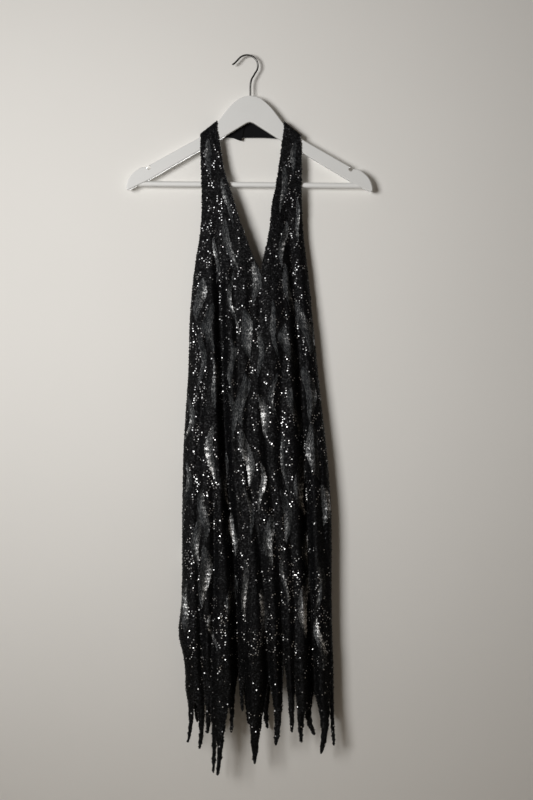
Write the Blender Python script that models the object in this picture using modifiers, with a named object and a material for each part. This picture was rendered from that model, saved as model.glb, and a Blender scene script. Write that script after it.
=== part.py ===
"""Beaded evening dress on a wooden hanger.

The dress has a halter neck, a deep V in front, a low open back and a hem of long pointed tails. It hangs
by two straps folded over the arms of a flat wooden hanger, which hangs by its wire hook. The origin is the
inner top of the hook's bend, +X is the wearer's left, -Y is the front and +Z is up. Tables are in
millimetres, and a drop is a distance below the origin.
"""
from math import cos, pi, radians, sin

import bmesh
import bpy
import numpy as np

MM = 0.001
WELD = 0.01 * MM             # points nearer than this are one

# Driving dimensions of the cloth, in metres
WALL = 1.6 * MM              # beaded cloth, one layer
GAP = 0.3 * MM               # between pieces that meet
SIDE_STEP = 0.25 * MM        # sideways run of the first strip of cloth beside a side seam
ARCH_POWER = 2.4             # how square the dress is seen from above
FRONT_CLEAR = 6.0            # mm, least that the front's folds leave before the plane of the seams
BACK_CLEAR = 4.0             # mm, the same behind it
UNDERARM_DROP = 345.0        # mm, top of the side seams
V_POINT = (25.4, 381.0)      # mm, x and drop of the bottom of the V
SCOOP_DEPTH = 125.0          # mm, of the back's upper edge under the underarm
SCOOP_POWER = 0.8            # less than 1 squares the scoop

# Driving dimensions of the hanger, in metres
HANGER_X = 5.9 * MM          # the hanger's middle, sideways of the hook's top
CROWN_DROP = 70.2 * MM       # top of the wooden body under the hook's top
HANGER_TILT = radians(0.5)   # the hanger hangs a little lower on its right
BOARD = 12.0 * MM            # thickness of the wooden body
BOARD_ROUND = 1.6 * MM
BOARD_ROUND_STEPS = 3
SHARP_FROM = radians(60)     # the board's edges turn by more than this, its outline's corners by less
ROUND_SIDES = 20             # of the bar, and of each hole
BAR_RADIUS = 4.7 * MM
BAR_HALF_LENGTH = 202.5 * MM
BAR_DROP = 155.3 * MM        # under the top of the crown
HOOK_WIRE = 1.5 * MM         # radius
HOOK_BEND = 19.0 * MM        # radius of the bend, to the middle of the wire
HOOK_TURNS = (radians(143), radians(-42))
HOOK_STEPS = 16
STEM_DEPTH = 18.0 * MM       # of the hook's wire in the wood

# Driving dimensions of the neck
ARM_WRAP = 7.4 * MM          # half width of the fold over an arm, to the middle of the cloth
WRAP_POWER = 2.6
BAND_HEIGHT = 27.5           # mm
BAND_LOW_DROP = 141.9        # mm, lower edge of the neckband at the centre
BAND_OVERLAP_X = (-26.0, -4.0)
BAND_SLANT = 5.5             # mm, slant of the left half's end
BAND_SAG = 5.6               # mm, of the left half's lower corner
BAND_BEHIND = 0.2            # mm, of the left half behind the arms
SEAM_SHARE = 0.5             # place of the seam in the first stretch of the neckband
BAND_LEVEL_AT = 0.6          # share of the neckband's run in which it swings level
BAND_SAG_FROM = 0.72         # share of the run from which the left half's corner sags
BAND_PARTS = (0.2, 0.7)      # shares of the run between which the halves leave the arms for the overlap
BUTTON_RADIUS = 4.5 * MM
BUTTON_THICKNESS = 2.4 * MM
BUTTON_RIM = 0.6 * MM
BUTTON_SIDES = 20

# Outline of the dress from the front: drop, left edge, right edge
OUTLINE = (
    (110.0, -80.5, 93.5),
    (150.0, -80.5, 94.5),
    (305.0, -80.5, 97.0),
    (375.0, -91.0, 105.0),
    (445.0, -98.0, 112.0),
    (550.0, -101.5, 122.5),
    (628.0, -106.5, 131.0),
    (690.0, -110.0, 138.0),
    (777.0, -112.0, 145.0),
    (952.0, -113.5, 147.0),
    (1020.0, -117.2, 148.0),
    (1046.0, -110.8, 149.3),
    (1075.0, -107.2, 150.0),
    (1110.0, -106.3, 150.5),
)

# Inner edges of the straps, down to the point of the V: drop, left strap, right strap
NECKLINE = (
    (110.0, -53.5, 65.6),
    (160.0, -46.9, 60.6),
    (200.0, -40.8, 55.5),
    (231.0, -30.8, 50.6),
    (262.0, -21.5, 44.3),
    (290.0, -12.9, 41.6),
    (323.0, -0.7, 36.6),
    (355.0, 11.4, 29.6),
    (381.0, 25.4, 25.4),
)

# How far the cloth stands off the plane of its side seams: drop, front, back
STAND = (
    (110.0, 0.0, 10.0),
    (170.0, 1.5, 10.0),
    (250.0, 8.0, 10.0),
    (345.0, 20.0, 12.0),
    (480.0, 31.0, 15.0),
    (690.0, 39.0, 20.0),
    (900.0, 42.0, 22.0),
    (1110.0, 40.0, 21.0),
)
STRAPS_FREE_DROP = 250.0     # mm, below it the straps leave the hanger's plane for that of the side seams

# Folds of the front: name, then x and depth of each valley at the drops above, and half its width
FRONT_FOLD_DROPS = (252.0, 380.0, 471.0, 690.0, 908.0, 1092.0)
FRONT_FOLDS = (
    ("side left", (-72.0, -74.0, -69.0, -84.0, -83.0, -75.3), (0.0, 4.0, 9.0, 8.0, 12.0, 15.0), 7.0),
    ("low left", (-60.0, -60.0, -60.0, -58.0, -56.5, -62.0), (0.0, 0.0, 0.0, 4.0, 12.0, 14.0), 7.0),
    ("main left", (-52.5, -49.0, -45.5, -36.8, -21.0, -14.0), (5.0, 18.0, 30.0, 44.0, 46.0, 40.0), 8.2),
    ("bodice left", (-33.0, -24.0, -17.5, -15.8, -1.8, -4.9), (2.0, 5.0, 7.0, 6.0, 7.0, 20.0), 8.0),
    ("centre", (4.0, 6.0, 8.8, 1.8, 28.0, 38.3), (0.0, 2.0, 5.0, 8.0, 9.0, 22.0), 8.0),
    ("right of centre", (22.0, 22.0, 22.8, 35.0, 57.8, 63.9), (0.0, 2.0, 4.0, 6.0, 9.0, 22.0), 8.5),
    ("bodice right", (62.0, 66.0, 64.0, 59.5, 80.5, 83.5), (0.0, 2.0, 4.0, 7.0, 7.0, 14.0), 8.0),
    ("main right", (70.0, 80.0, 87.5, 99.8, 108.5, 116.6), (5.0, 18.0, 32.0, 44.0, 46.0, 40.0), 8.2),
    ("side right", (90.0, 100.0, 108.0, 124.3, 138.2, 144.0), (0.0, 0.0, 0.0, 9.0, 11.0, 11.0), 6.0),
)

# Folds of the back, in the same columns
BACK_FOLD_DROPS = (340.0, 471.0, 690.0, 908.0, 1092.0)
BACK_FOLDS = (
    ("side left", (-70.0, -72.0, -80.0, -82.0, -75.0), (3.0, 6.0, 11.0, 13.0, 12.0), 8.0),
    ("left", (-42.0, -40.0, -44.0, -38.0, -42.0), (2.0, 8.0, 12.0, 11.0, 12.0), 9.0),
    ("left of centre", (-14.0, -16.0, -8.0, -14.0, -14.0), (0.0, 5.0, 13.0, 14.0, 12.0), 9.0),
    ("centre", (8.0, 10.0, 18.0, 14.0, 20.0), (0.0, 6.0, 10.0, 12.0, 12.0), 8.0),
    ("right of centre", (40.0, 44.0, 52.0, 58.0, 64.0), (0.0, 8.0, 12.0, 14.0, 12.0), 9.0),
    ("right", (66.0, 74.0, 88.0, 86.0, 84.0), (3.0, 7.0, 11.0, 9.0, 10.0), 8.0),
    ("side right", (92.0, 98.0, 116.0, 120.0, 116.0), (2.0, 5.0, 11.0, 13.0, 11.0), 7.5),
)

# Tails of the hems, from left to right: name, columns of cloth, x and drop of the notch at its right, x and
# drop of its tip, width of its strand, how soon it narrows, sideways bow, sideways curl and forward swing of
# the tip
HEM_LEFT = (-106.3, 1110.0)
FRONT_TAILS = (
    ("side left", 3, (-91.9, 1112.0), (-102.6, 1197.0), 4.0, 1.5, 2.5, -3.0, 4.0),
    ("second", 3, (-75.3, 1076.0), (-82.4, 1208.0), 6.5, 1.5, 3.0, -3.5, -3.0),
    ("third", 2, (-62.4, 1130.0), (-68.3, 1180.0), 5.5, 1.2, 0.5, -1.5, 2.0),
    ("long thin", 2, (-53.2, 1184.0), (-58.6, 1247.0), 4.0, 1.5, 0.8, -1.0, -2.0),
    ("long", 4, (-31.7, 1128.0), (-50.6, 1250.0), 7.0, 2.0, 0.5, -1.5, 3.0),
    ("left hook", 3, (-14.5, 1068.0), (-27.0, 1179.0), 5.0, 2.6, -0.8, -1.5, -3.0),
    ("short", 2, (-4.9, 1080.0), (-7.5, 1143.0), 4.5, 1.2, -0.6, 0.8, 2.0),
    ("centre", 6, (38.3, 1088.0), (13.7, 1232.0), 7.0, 0.8, 0.0, 1.0, -2.0),
    ("right of centre", 4, (63.9, 1043.0), (50.0, 1199.0), 9.5, 1.8, 2.5, -3.5, 4.0),
    ("thin", 3, (83.5, 1080.0), (78.4, 1178.0), 6.5, 1.2, 0.8, 0.5, -2.0),
    ("right", 3, (101.9, 1134.0), (94.3, 1194.0), 6.0, 1.2, -1.0, 1.0, 2.0),
    ("right hook", 3, (116.6, 1107.0), (117.6, 1184.0), 4.5, 1.3, -3.5, 5.0, -4.0),
    ("curled", 4, (144.0, 1093.0), (128.8, 1216.0), 8.0, 1.2, 3.5, -6.0, 5.0),
    ("side right", 2, (150.5, 1110.0), (151.4, 1204.0), 4.5, 1.0, -0.5, 0.5, 2.0),
)
TAILS_LEFT_OF_V = 9
BACK_TAILS = (
    ("side left", 4, (-75.0, 1084.0), (-87.5, 1166.0), 4.5, 2.0, 0.0, 1.0, 3.0),
    ("left", 6, (-14.0, 1070.0), (-47.0, 1176.0), 9.0, 1.3, 0.0, -2.0, -2.0),
    ("left of centre", 4, (22.0, 1112.0), (4.0, 1172.0), 8.0, 1.2, 0.0, 2.0, 3.0),
    ("centre", 4, (64.0, 1040.0), (35.7, 1179.0), 5.0, 1.6, -3.0, 4.0, -2.0),
    ("right of centre", 3, (84.0, 1084.0), (76.0, 1142.0), 6.0, 1.2, 0.0, -1.0, 2.0),
    ("right", 4, (116.0, 1096.0), (97.0, 1162.0), 6.0, 1.4, 0.0, -2.0, -2.0),
    ("side right", 4, (150.5, 1110.0), (142.3, 1158.0), 4.5, 1.3, 0.0, 1.0, 3.0),
)

# Crests of the straps' folds over the arms: x and drop at the outer edge, x and drop at the inner edge
STRAP_CRESTS = {
    "left": ((-80.5, 136.8), (-53.0, 115.2)),
    "right": ((93.3, 139.4), (65.2, 116.2)),
}

# Rows of cloth
WRAP_ROWS = 6
STRAP_ROWS = 9
STRAP_HANGS_BY = 0.12        # share of a strap's length in which it leaves its crest's columns for its own
SKIRT_ROWS = 24
HEM_FROM = 5                 # power by which a panel's rows take up the hem line's ups and downs
SPREAD_FROM = 0.15           # share of a panel's height from which its columns turn towards the hem's
BACK_ROWS = 16
TAIL_STATIONS = (0.0, 0.18, 0.38, 0.6, 0.8, 0.94, 1.0)
TAIL_FLAT = 0.6              # share of a tail's length in which its folds flatten out
TAIL_TAPER = 0.6             # how round the strand closes at its tip
TAIL_TIP = 8                 # power of the strand's width: the higher, the nearer the tip it closes
TAIL_CURL = 4                # power of the tip's sideways curl
BAND_ROWS = 9
BAND_COLUMNS = 4

# Right half of the wooden body, from the top of the crown round to the middle of its underside: x, height
BODY_HALF = (
    (0.0, 0.0), (10.0, -1.4), (19.5, -5.4), (28.0, -12.1), (36.0, -19.8), (43.0, -28.4), (49.5, -37.0),
    (56.5, -46.3), (64.0, -54.6), (73.0, -63.4), (84.0, -71.6), (97.0, -79.2), (174.5, -122.6),
    (180.5, -126.6), (188.0, -126.9), (194.0, -129.6), (199.3, -133.2), (204.5, -137.9), (208.2, -142.0),
    (211.2, -147.2), (213.2, -152.4), (215.0, -159.5), (215.2, -163.4), (213.6, -166.3), (210.6, -166.4),
    (199.0, -160.4), (178.0, -150.0), (94.0, -100.6), (46.5, -73.0), (6.0, -48.0), (0.0, -46.2),
)
NOTCH_CENTRE = (176.3, -127.4)
NOTCH_RADIUS = 3.9

# The hook's free end, past the bend: x and drop of the middle of the wire
HOOK_LIP = ((-26.1, 15.6), (-22.4, 13.4), (-19.4, 10.6))
HOOK_NECK = ((11.9, 34.4), (8.2, 40.6), (6.5, 47.0), (5.9, 54.0), (5.9, 62.0))

# Colours, linear
BLACK_BEADS = (0.006, 0.006, 0.007)
BLACK_LINING = (0.004, 0.004, 0.005)
WHITE_PAINT = (0.78, 0.76, 0.72)
STEEL = (0.62, 0.62, 0.63)
BLACK_BUTTON = (0.01, 0.01, 0.01)


# General helpers

def clear_scene():
    """Removes whatever the scene holds."""
    for old in list(bpy.data.objects):
        bpy.data.objects.remove(old, do_unlink=True)


def make_collection(name):
    """A new collection under the scene's own."""
    collection = bpy.data.collections.new(name)
    bpy.context.scene.collection.children.link(collection)
    return collection


def make_material(name, colour, roughness, metallic=0.0):
    """A plain material of one colour."""
    material = bpy.data.materials.new(name)
    material.use_nodes = True
    shader = material.node_tree.nodes["Principled BSDF"]
    shader.inputs["Base Color"].default_value = (*colour, 1.0)
    shader.inputs["Roughness"].default_value = roughness
    shader.inputs["Metallic"].default_value = metallic
    return material


def add_object(name, data, material, collection, parent=None):
    """A named object with its own material, in a collection."""
    data.name = name
    piece = bpy.data.objects.new(name, data)
    data.materials.append(material)
    collection.objects.link(piece)
    piece.parent = parent
    return piece


def line_through(stations, values):
    """A smooth line, a cubic for each stretch, through values at rising stations. It is read anywhere."""
    stations = np.array(stations, float)
    values = np.array(values, float)
    slopes = np.gradient(values, stations)

    def read(at):
        at = np.clip(np.asarray(at, float), stations[0], stations[-1])
        i = np.clip(np.searchsorted(stations, at) - 1, 0, len(stations) - 2)
        step = stations[i + 1] - stations[i]
        t = (at - stations[i]) / step
        near = (1 + 2 * t) * (1 - t) ** 2 * values[i] + t * (1 - t) ** 2 * step * slopes[i]
        far = t * t * (3 - 2 * t) * values[i + 1] + t * t * (t - 1) * step * slopes[i + 1]
        return near + far

    return read


def column(table, index):
    """One column of a table."""
    return [row[index] for row in table]


def ease(low, high, at):
    """Rises smoothly from 0 at low to 1 at high."""
    t = np.clip((np.asarray(at, float) - low) / (high - low), 0.0, 1.0)
    return t * t * (3 - 2 * t)


# Lines and surfaces of the dress. They take and give millimetres.

left_edge = line_through(column(OUTLINE, 0), column(OUTLINE, 1))
right_edge = line_through(column(OUTLINE, 0), column(OUTLINE, 2))
left_neckline = line_through(column(NECKLINE, 0), column(NECKLINE, 1))
right_neckline = line_through(column(NECKLINE, 0), column(NECKLINE, 2))
front_stand = line_through(column(STAND, 0), column(STAND, 1))
back_stand = line_through(column(STAND, 0), column(STAND, 2))


def fold_depth(x, drop, folds, drops, most):
    """Sum of the valleys at a point: each is a bell across its own line, and the sum stays under most."""
    total = np.zeros_like(x)
    for name, places, depths, half_width in folds:
        middle = line_through(drops, places)(drop)
        depth = np.clip(line_through(drops, depths)(drop), 0.0, None)
        total = total + depth * np.exp(-((x - middle) / half_width) ** 2)
    return most * (1 - np.exp(-total / np.maximum(most, 0.01)))


def seam_plane(drop):
    """How far the edges lie before the hanger's middle: clear of its arms at the straps, 0 at the seams."""
    return ARM_WRAP / MM * (1 - ease(STRAPS_FREE_DROP, UNDERARM_DROP, drop))


def arch(x, drop):
    """0 at the side edges and 1 in the middle: nearly an ellipse, and a parabola on the straps."""
    share = (x - left_edge(drop)) / (right_edge(drop) - left_edge(drop))
    inside = 1 - np.abs(np.clip(2 * share - 1, -1, 1)) ** ARCH_POWER
    power = 1 + (ARCH_POWER - 1) * ease(STRAPS_FREE_DROP, UNDERARM_DROP, drop)
    return inside ** (1 / power)


def front_y(x, drop):
    """Depth of the front's middle surface: the arch less its folds, before the plane of the seams."""
    stand = front_stand(drop)
    folds = fold_depth(x, drop, FRONT_FOLDS, FRONT_FOLD_DROPS, np.maximum(stand - FRONT_CLEAR, 0.5))
    return -(seam_plane(drop) + GAP / MM / 2 + (stand - folds) * arch(x, drop))


def back_y(x, drop):
    """Depth of the back's middle surface, behind the plane of the seams."""
    stand = back_stand(drop)
    folds = fold_depth(x, drop, BACK_FOLDS, BACK_FOLD_DROPS, np.maximum(stand - BACK_CLEAR, 0.5))
    return GAP / MM / 2 - seam_plane(drop) + (stand - folds) * arch(x, drop)


def back_neckline(x):
    """Drop of the back's upper edge: underarm at the sides, in a round scoop to the low middle."""
    share = (x - left_edge(UNDERARM_DROP)) / (right_edge(UNDERARM_DROP) - left_edge(UNDERARM_DROP))
    return UNDERARM_DROP + SCOOP_DEPTH * np.sin(pi * np.clip(share, 0, 1)) ** SCOOP_POWER


def root_line(tails):
    """The hem line that the tails hang from: x and drop at each column of cloth."""
    x, drop = HEM_LEFT
    points = [(x, drop)]
    for tail in tails:
        columns, (notch_x, notch_drop) = tail[1], tail[2]
        for k in range(1, columns + 1):
            points.append((x + (notch_x - x) * k / columns, drop + (notch_drop - drop) * k / columns))
        x, drop = notch_x, notch_drop
    return np.array(points)


def with_side_strips(shares):
    """Column shares with a narrow strip beside each side seam, so that the wall ends square to the seam."""
    width = OUTLINE[-1][2] - OUTLINE[-1][1]
    strip = SIDE_STEP / MM / width
    return np.concatenate(([0.0, strip], shares[1:-1], [1 - strip, 1.0]))


def tail_grid(tail, root):
    """A tail from its root points to its tip, as rows of points.

    The middle line runs from root to tip with a bow and a curl. The width falls from the root's to the
    strand's and closes at the tip, and the root's folds flatten out as it falls.
    """
    name, columns, notch, (tip_x, tip_drop), strand, narrowing, bow, curl, swing = tail
    middle = (root[0] + root[-1]) / 2
    root_width = root[-1, 0] - root[0, 0]
    rows = []
    for s in TAIL_STATIONS:
        root_share = (1 - s) ** (narrowing + TAIL_TAPER)
        strand_share = (1 - s ** TAIL_TIP) ** TAIL_TAPER
        width = (root_width - strand) * root_share + strand * strand_share
        centre_x = middle[0] + (tip_x - curl - middle[0]) * s + bow * sin(pi * s) + curl * s ** TAIL_CURL
        flat = ease(0.0, TAIL_FLAT, s)
        x = centre_x + (root[:, 0] - middle[0]) * width / root_width
        hang_y = np.mean(root[:, 1]) - swing * s
        y = root[:, 1] + (hang_y - root[:, 1]) * flat
        drop = root[:, 2] + (tip_drop - root[:, 2]) * s
        rows.append(np.stack((x, y, drop), axis=1))
    rows[-1][:] = rows[-1].mean(axis=0)
    return np.array(rows)


def tail_grids(tails, hem):
    """The tails in order along the last row of a panel."""
    grids = []
    first = 0
    for index, tail in enumerate(tails):
        ends = (index == 0) + (index == len(tails) - 1)
        last = first + tail[1] + ends
        grids.append(tail_grid(tail, hem[first:last + 1]))
        first = last
    return grids


# Meshes of cloth

def mesh_from_grids(name, grids, outward_is_front):
    """Joins grids of points (rows down, columns to +X, in millimetres as x, y, drop) into one open sheet."""
    sheet = bmesh.new()
    for grid in grids:
        rows, columns, _ = grid.shape
        points = [[sheet.verts.new((x * MM, y * MM, -drop * MM)) for x, y, drop in row] for row in grid]
        for r in range(rows - 1):
            for c in range(columns - 1):
                corners = [points[r + 1][c], points[r + 1][c + 1], points[r][c + 1], points[r][c]]
                sheet.faces.new(corners if outward_is_front else corners[::-1])
    bmesh.ops.remove_doubles(sheet, verts=sheet.verts, dist=WELD / 2)
    bmesh.ops.dissolve_degenerate(sheet, edges=sheet.edges, dist=WELD / 2)
    mesh = bpy.data.meshes.new(name)
    sheet.to_mesh(mesh)
    sheet.free()
    mesh.shade_smooth()
    return mesh


def thicken(piece):
    """Gives a sheet of cloth its wall, half to each side."""
    wall = piece.modifiers.new("wall", "SOLIDIFY")
    wall.thickness = WALL
    wall.offset = 0.0
    wall.use_even_offset = True
    wall.use_quality_normals = True


def strap_crest(side, share):
    """x and drop of the crest of a strap's fold over the arm. Share runs from its outer to its inner edge."""
    (outer_x, outer_drop), (inner_x, inner_drop) = STRAP_CRESTS[side]
    return outer_x + (inner_x - outer_x) * share, outer_drop + (inner_drop - outer_drop) * share


def wrap_point(angle):
    """y and drop under the crest on the fold over an arm: 0 is the front tangent, a quarter turn the top."""
    radius = ARM_WRAP / MM
    y = -radius * np.sign(cos(angle)) * abs(cos(angle)) ** (2 / WRAP_POWER)
    down = radius * (1 - abs(sin(angle)) ** (2 / WRAP_POWER))
    return y, down


def neckband_row(side, share, s):
    """A row of points across the neckband: s runs from the back of the fold (0) to the overlap (1).

    Each line of cloth leaves the fold downwards and swings level on its way. The left half lies next to the
    hanger and its lower corner sags; the right half lies outside it.
    """
    x, drop = strap_crest(side, share)
    y, down = wrap_point(pi)
    left = side == "left"
    low_x, high_x = BAND_OVERLAP_X
    end_x = high_x - BAND_SLANT * (1 - share) if left else np.full_like(x, low_x)
    end_y = y + BAND_BEHIND + (0.0 if left else (WALL + GAP) / MM)
    level_drop = BAND_LOW_DROP - BAND_HEIGHT * share
    drop = drop + down + (level_drop - drop - down) * ease(0.0, BAND_LEVEL_AT, s)
    drop = drop + (BAND_SAG if left else 0.0) * ease(BAND_SAG_FROM, 1.0, s)
    y = y + (end_y - y) * ease(*BAND_PARTS, s)
    return np.stack((x + (end_x - x) * s, np.full_like(x, y), drop), axis=1)


def wrap_row(side, share, angle):
    """A row of points across a strap at one place of its fold over the arm."""
    x, drop = strap_crest(side, share)
    y, down = wrap_point(angle)
    return np.stack((x, np.full_like(x, y), drop + down), axis=1)


def strap_grid(side, shares):
    """A strap, from its end behind the arm over the crest and down to the row through the point of the V."""
    from_outer = shares if side == "left" else shares[::-1]
    start = neckband_row(side, from_outer, 0.0)
    beyond = neckband_row(side, from_outer, 1 / BAND_ROWS)
    seam = SEAM_SHARE - GAP / MM / 2 / np.linalg.norm(beyond - start, axis=1, keepdims=True)
    rows = [start + (beyond - start) * seam]
    for k in range(WRAP_ROWS):
        rows.append(wrap_row(side, from_outer, pi * (1 - k / WRAP_ROWS)))
    crest_x, crest_drop = strap_crest(side, from_outer)
    top_drop = crest_drop + ARM_WRAP / MM
    for k in range(STRAP_ROWS + 1):
        drop = top_drop + (V_POINT[1] - top_drop) * k / STRAP_ROWS
        if side == "left":
            x = left_edge(drop) + (left_neckline(drop) - left_edge(drop)) * from_outer
        else:
            x = right_edge(drop) + (right_neckline(drop) - right_edge(drop)) * from_outer
        hang = ease(0.0, STRAP_HANGS_BY, k / STRAP_ROWS)
        x = crest_x + (x - crest_x) * hang
        y = front_y(x, drop)
        rows.append(np.stack((x, y, drop), axis=1))
    return np.array(rows)


def panel_grid(shares, root, top_drops, depth, rows):
    """A panel from its upper edge to the hem line. Its columns are even on top and meet the hem's columns."""
    hem_shares = (root[:, 0] - root[0, 0]) / (root[-1, 0] - root[0, 0])
    grid = []
    for k in range(rows + 1):
        r = k / rows
        base = top_drops + (np.mean(root[:, 1]) - top_drops) * r
        drop = base + (root[:, 1] - np.mean(root[:, 1])) * r ** HEM_FROM
        share = shares + (hem_shares - shares) * ease(SPREAD_FROM, 1.0, r)
        x = left_edge(drop) + (right_edge(drop) - left_edge(drop)) * share
        if k == rows:
            x = root[:, 0]
        grid.append(np.stack((x, depth(x, drop), drop), axis=1))
    return np.array(grid)


def hem_columns(tails):
    """Root points of a panel's hem with a narrow strip beside each side seam."""
    root = root_line(tails)
    even = np.linspace(0, 1, len(root))
    strip = SIDE_STEP / MM
    first = root[0] + (strip, 0.0)
    last = root[-1] - (strip, 0.0)
    return np.concatenate((root[:1], [first], root[1:-1], [last], root[-1:])), with_side_strips(even)


def make_front(material, collection):
    """The front with its two straps: one sheet below the point of the V and two above it."""
    root, even = hem_columns(FRONT_TAILS)
    split = 1 + sum(tail[1] for tail in FRONT_TAILS[:TAILS_LEFT_OF_V])
    at_v = (V_POINT[0] - left_edge(V_POINT[1])) / (right_edge(V_POINT[1]) - left_edge(V_POINT[1]))
    shares = np.where(even <= even[split], even / even[split] * at_v,
                      at_v + (even - even[split]) / (1 - even[split]) * (1 - at_v))
    top = np.full(len(shares), V_POINT[1])
    skirt = panel_grid(shares, root, top, front_y, SKIRT_ROWS)
    left = strap_grid("left", shares[:split + 1] / at_v)
    right = strap_grid("right", 1 - (shares[split:] - at_v)[::-1] / (1 - at_v))
    left[-1] = skirt[0, :split + 1]
    right[-1] = skirt[0, split:]
    grids = [left, right, skirt, *tail_grids(FRONT_TAILS, skirt[-1])]
    piece = add_object("front", mesh_from_grids("front", grids, True), material, collection)
    thicken(piece)
    return piece


def make_back(material, collection):
    """The back, from its low neckline to the hem."""
    root, even = hem_columns(BACK_TAILS)
    width = right_edge(UNDERARM_DROP) - left_edge(UNDERARM_DROP)
    top = back_neckline(left_edge(UNDERARM_DROP) + width * even)
    panel = panel_grid(even, root, top, back_y, BACK_ROWS)
    grids = [panel, *tail_grids(BACK_TAILS, panel[-1])]
    piece = add_object("back", mesh_from_grids("back", grids, False), material, collection)
    thicken(piece)
    return piece


def make_neckband(side, material, collection):
    """Half of the neckband: from the end of the strap, behind the arm, to the overlap at the centre back."""
    shares = np.linspace(0, 1, BAND_COLUMNS + 1)
    rows = [neckband_row(side, shares, k / BAND_ROWS) for k in range(BAND_ROWS + 1)]
    seam = SEAM_SHARE + GAP / MM / 2 / np.linalg.norm(rows[1] - rows[0], axis=1, keepdims=True)
    rows[0] = rows[0] + (rows[1] - rows[0]) * seam
    grid = np.array(rows)
    if side == "right":
        grid = grid[:, ::-1]
    name = "neckband_" + side
    piece = add_object(name, mesh_from_grids(name, [grid], True), material, collection)
    thicken(piece)
    return piece


def make_button(name, x, drop, material, collection):
    """A flat round button on the outside of the neckband's overlap: a turned profile."""
    rim = BUTTON_RIM
    profile = (
        (0.0, BUTTON_THICKNESS),
        (BUTTON_RADIUS - rim, BUTTON_THICKNESS),
        (BUTTON_RADIUS, BUTTON_THICKNESS - rim),
        (BUTTON_RADIUS, rim),
        (BUTTON_RADIUS - rim, 0.0),
        (0.0, 0.0),
    )
    mesh = bpy.data.meshes.new(name)
    mesh.from_pydata([(r, 0.0, h) for r, h in profile], [(i, i + 1) for i in range(len(profile) - 1)], [])
    piece = add_object(name, mesh, material, collection)
    turn = piece.modifiers.new("turn", "SCREW")
    turn.steps = BUTTON_SIDES
    turn.render_steps = BUTTON_SIDES
    turn.use_merge_vertices = True
    turn.merge_threshold = WELD
    turn.use_smooth_shade = True
    band_face = ARM_WRAP + BAND_BEHIND * MM + (WALL + GAP) + WALL / 2
    piece.rotation_euler = (-pi / 2, 0.0, 0.0)
    piece.location = (x * MM, band_face + GAP, -drop * MM)
    return piece


# The hanger

def body_outline():
    """The wooden body's outline: the right half, then its mirror image."""
    return list(BODY_HALF) + [(-x, z) for x, z in BODY_HALF[-2:0:-1]]


def mesh_of_curve(curve_object):
    """The mesh of a curve object, with its caps welded; the curve is removed."""
    bpy.context.view_layer.update()
    graph = bpy.context.evaluated_depsgraph_get()
    mesh = bpy.data.meshes.new_from_object(curve_object.evaluated_get(graph))
    welded = bmesh.new()
    welded.from_mesh(mesh)
    bmesh.ops.remove_doubles(welded, verts=welded.verts, dist=WELD)
    welded.to_mesh(mesh)
    welded.free()
    mesh.materials.clear()
    bpy.data.objects.remove(curve_object, do_unlink=True)
    return mesh


def make_hanger_body(material, collection, cutters, frame):
    """The flat board with rounded edges, holes for the bar and the stem, and a round notch in each arm."""
    curve = bpy.data.curves.new("hanger_body", "CURVE")
    curve.dimensions = "2D"
    curve.fill_mode = "BOTH"
    curve.extrude = BOARD / 2
    outline = body_outline()
    spline = curve.splines.new("POLY")
    spline.points.add(len(outline) - 1)
    for point, (x, z) in zip(spline.points, outline):
        point.co = (x * MM, z * MM, 0.0, 1.0)
    spline.use_cyclic_u = True
    flat = bpy.data.objects.new("board", curve)
    collection.objects.link(flat)
    mesh = mesh_of_curve(flat)
    piece = add_object("hanger_body", mesh, material, collection, frame)
    piece.rotation_euler = (pi / 2, 0.0, 0.0)
    rounding = piece.modifiers.new("rounding", "BEVEL")
    rounding.width = BOARD_ROUND
    rounding.segments = BOARD_ROUND_STEPS
    rounding.limit_method = "ANGLE"
    rounding.angle_limit = SHARP_FROM
    rounding.use_clamp_overlap = False
    along_x = (0.0, pi / 2, 0.0)
    along_y = (pi / 2, 0.0, 0.0)
    notch_x, notch_z = (size * MM for size in NOTCH_CENTRE)
    holes = (
        ("bar_hole", BAR_RADIUS + GAP, 2 * (BAR_HALF_LENGTH + GAP), (0.0, 0.0, -BAR_DROP), along_x),
        ("stem_hole", HOOK_WIRE + GAP, 2 * STEM_DEPTH, (0.0, 0.0, 0.0), (0.0, 0.0, 0.0)),
        ("notch_right", NOTCH_RADIUS * MM, 2 * BOARD, (notch_x, 0.0, notch_z), along_y),
        ("notch_left", NOTCH_RADIUS * MM, 2 * BOARD, (-notch_x, 0.0, notch_z), along_y),
    )
    for name, radius, length, place, turn in holes:
        bpy.ops.mesh.primitive_cylinder_add(
            vertices=ROUND_SIDES, radius=radius, depth=length, location=place, rotation=turn)
        cutter = bpy.context.object
        cutter.name = name
        cutter.parent = frame
        cutter.hide_render = True
        cutter.display_type = "WIRE"
        for old in cutter.users_collection:
            old.objects.unlink(cutter)
        cutters.objects.link(cutter)
        cut = piece.modifiers.new(name, "BOOLEAN")
        cut.operation = "DIFFERENCE"
        cut.solver = "EXACT"
        cut.object = cutter
    return piece


def make_hanger_bar(material, collection, frame):
    """The round bar whose ends sit in the arms."""
    bpy.ops.mesh.primitive_cylinder_add(vertices=ROUND_SIDES, radius=BAR_RADIUS, depth=2 * BAR_HALF_LENGTH)
    piece = bpy.context.object
    piece.name = "hanger_bar"
    piece.data.name = "hanger_bar"
    piece.data.materials.append(material)
    for old in piece.users_collection:
        old.objects.unlink(piece)
    collection.objects.link(piece)
    piece.parent = frame
    piece.location = (0.0, 0.0, -BAR_DROP)
    piece.rotation_euler = (0.0, pi / 2, 0.0)
    piece.data.shade_smooth()
    piece.data.set_sharp_from_angle(angle=SHARP_FROM)
    return piece


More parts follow.
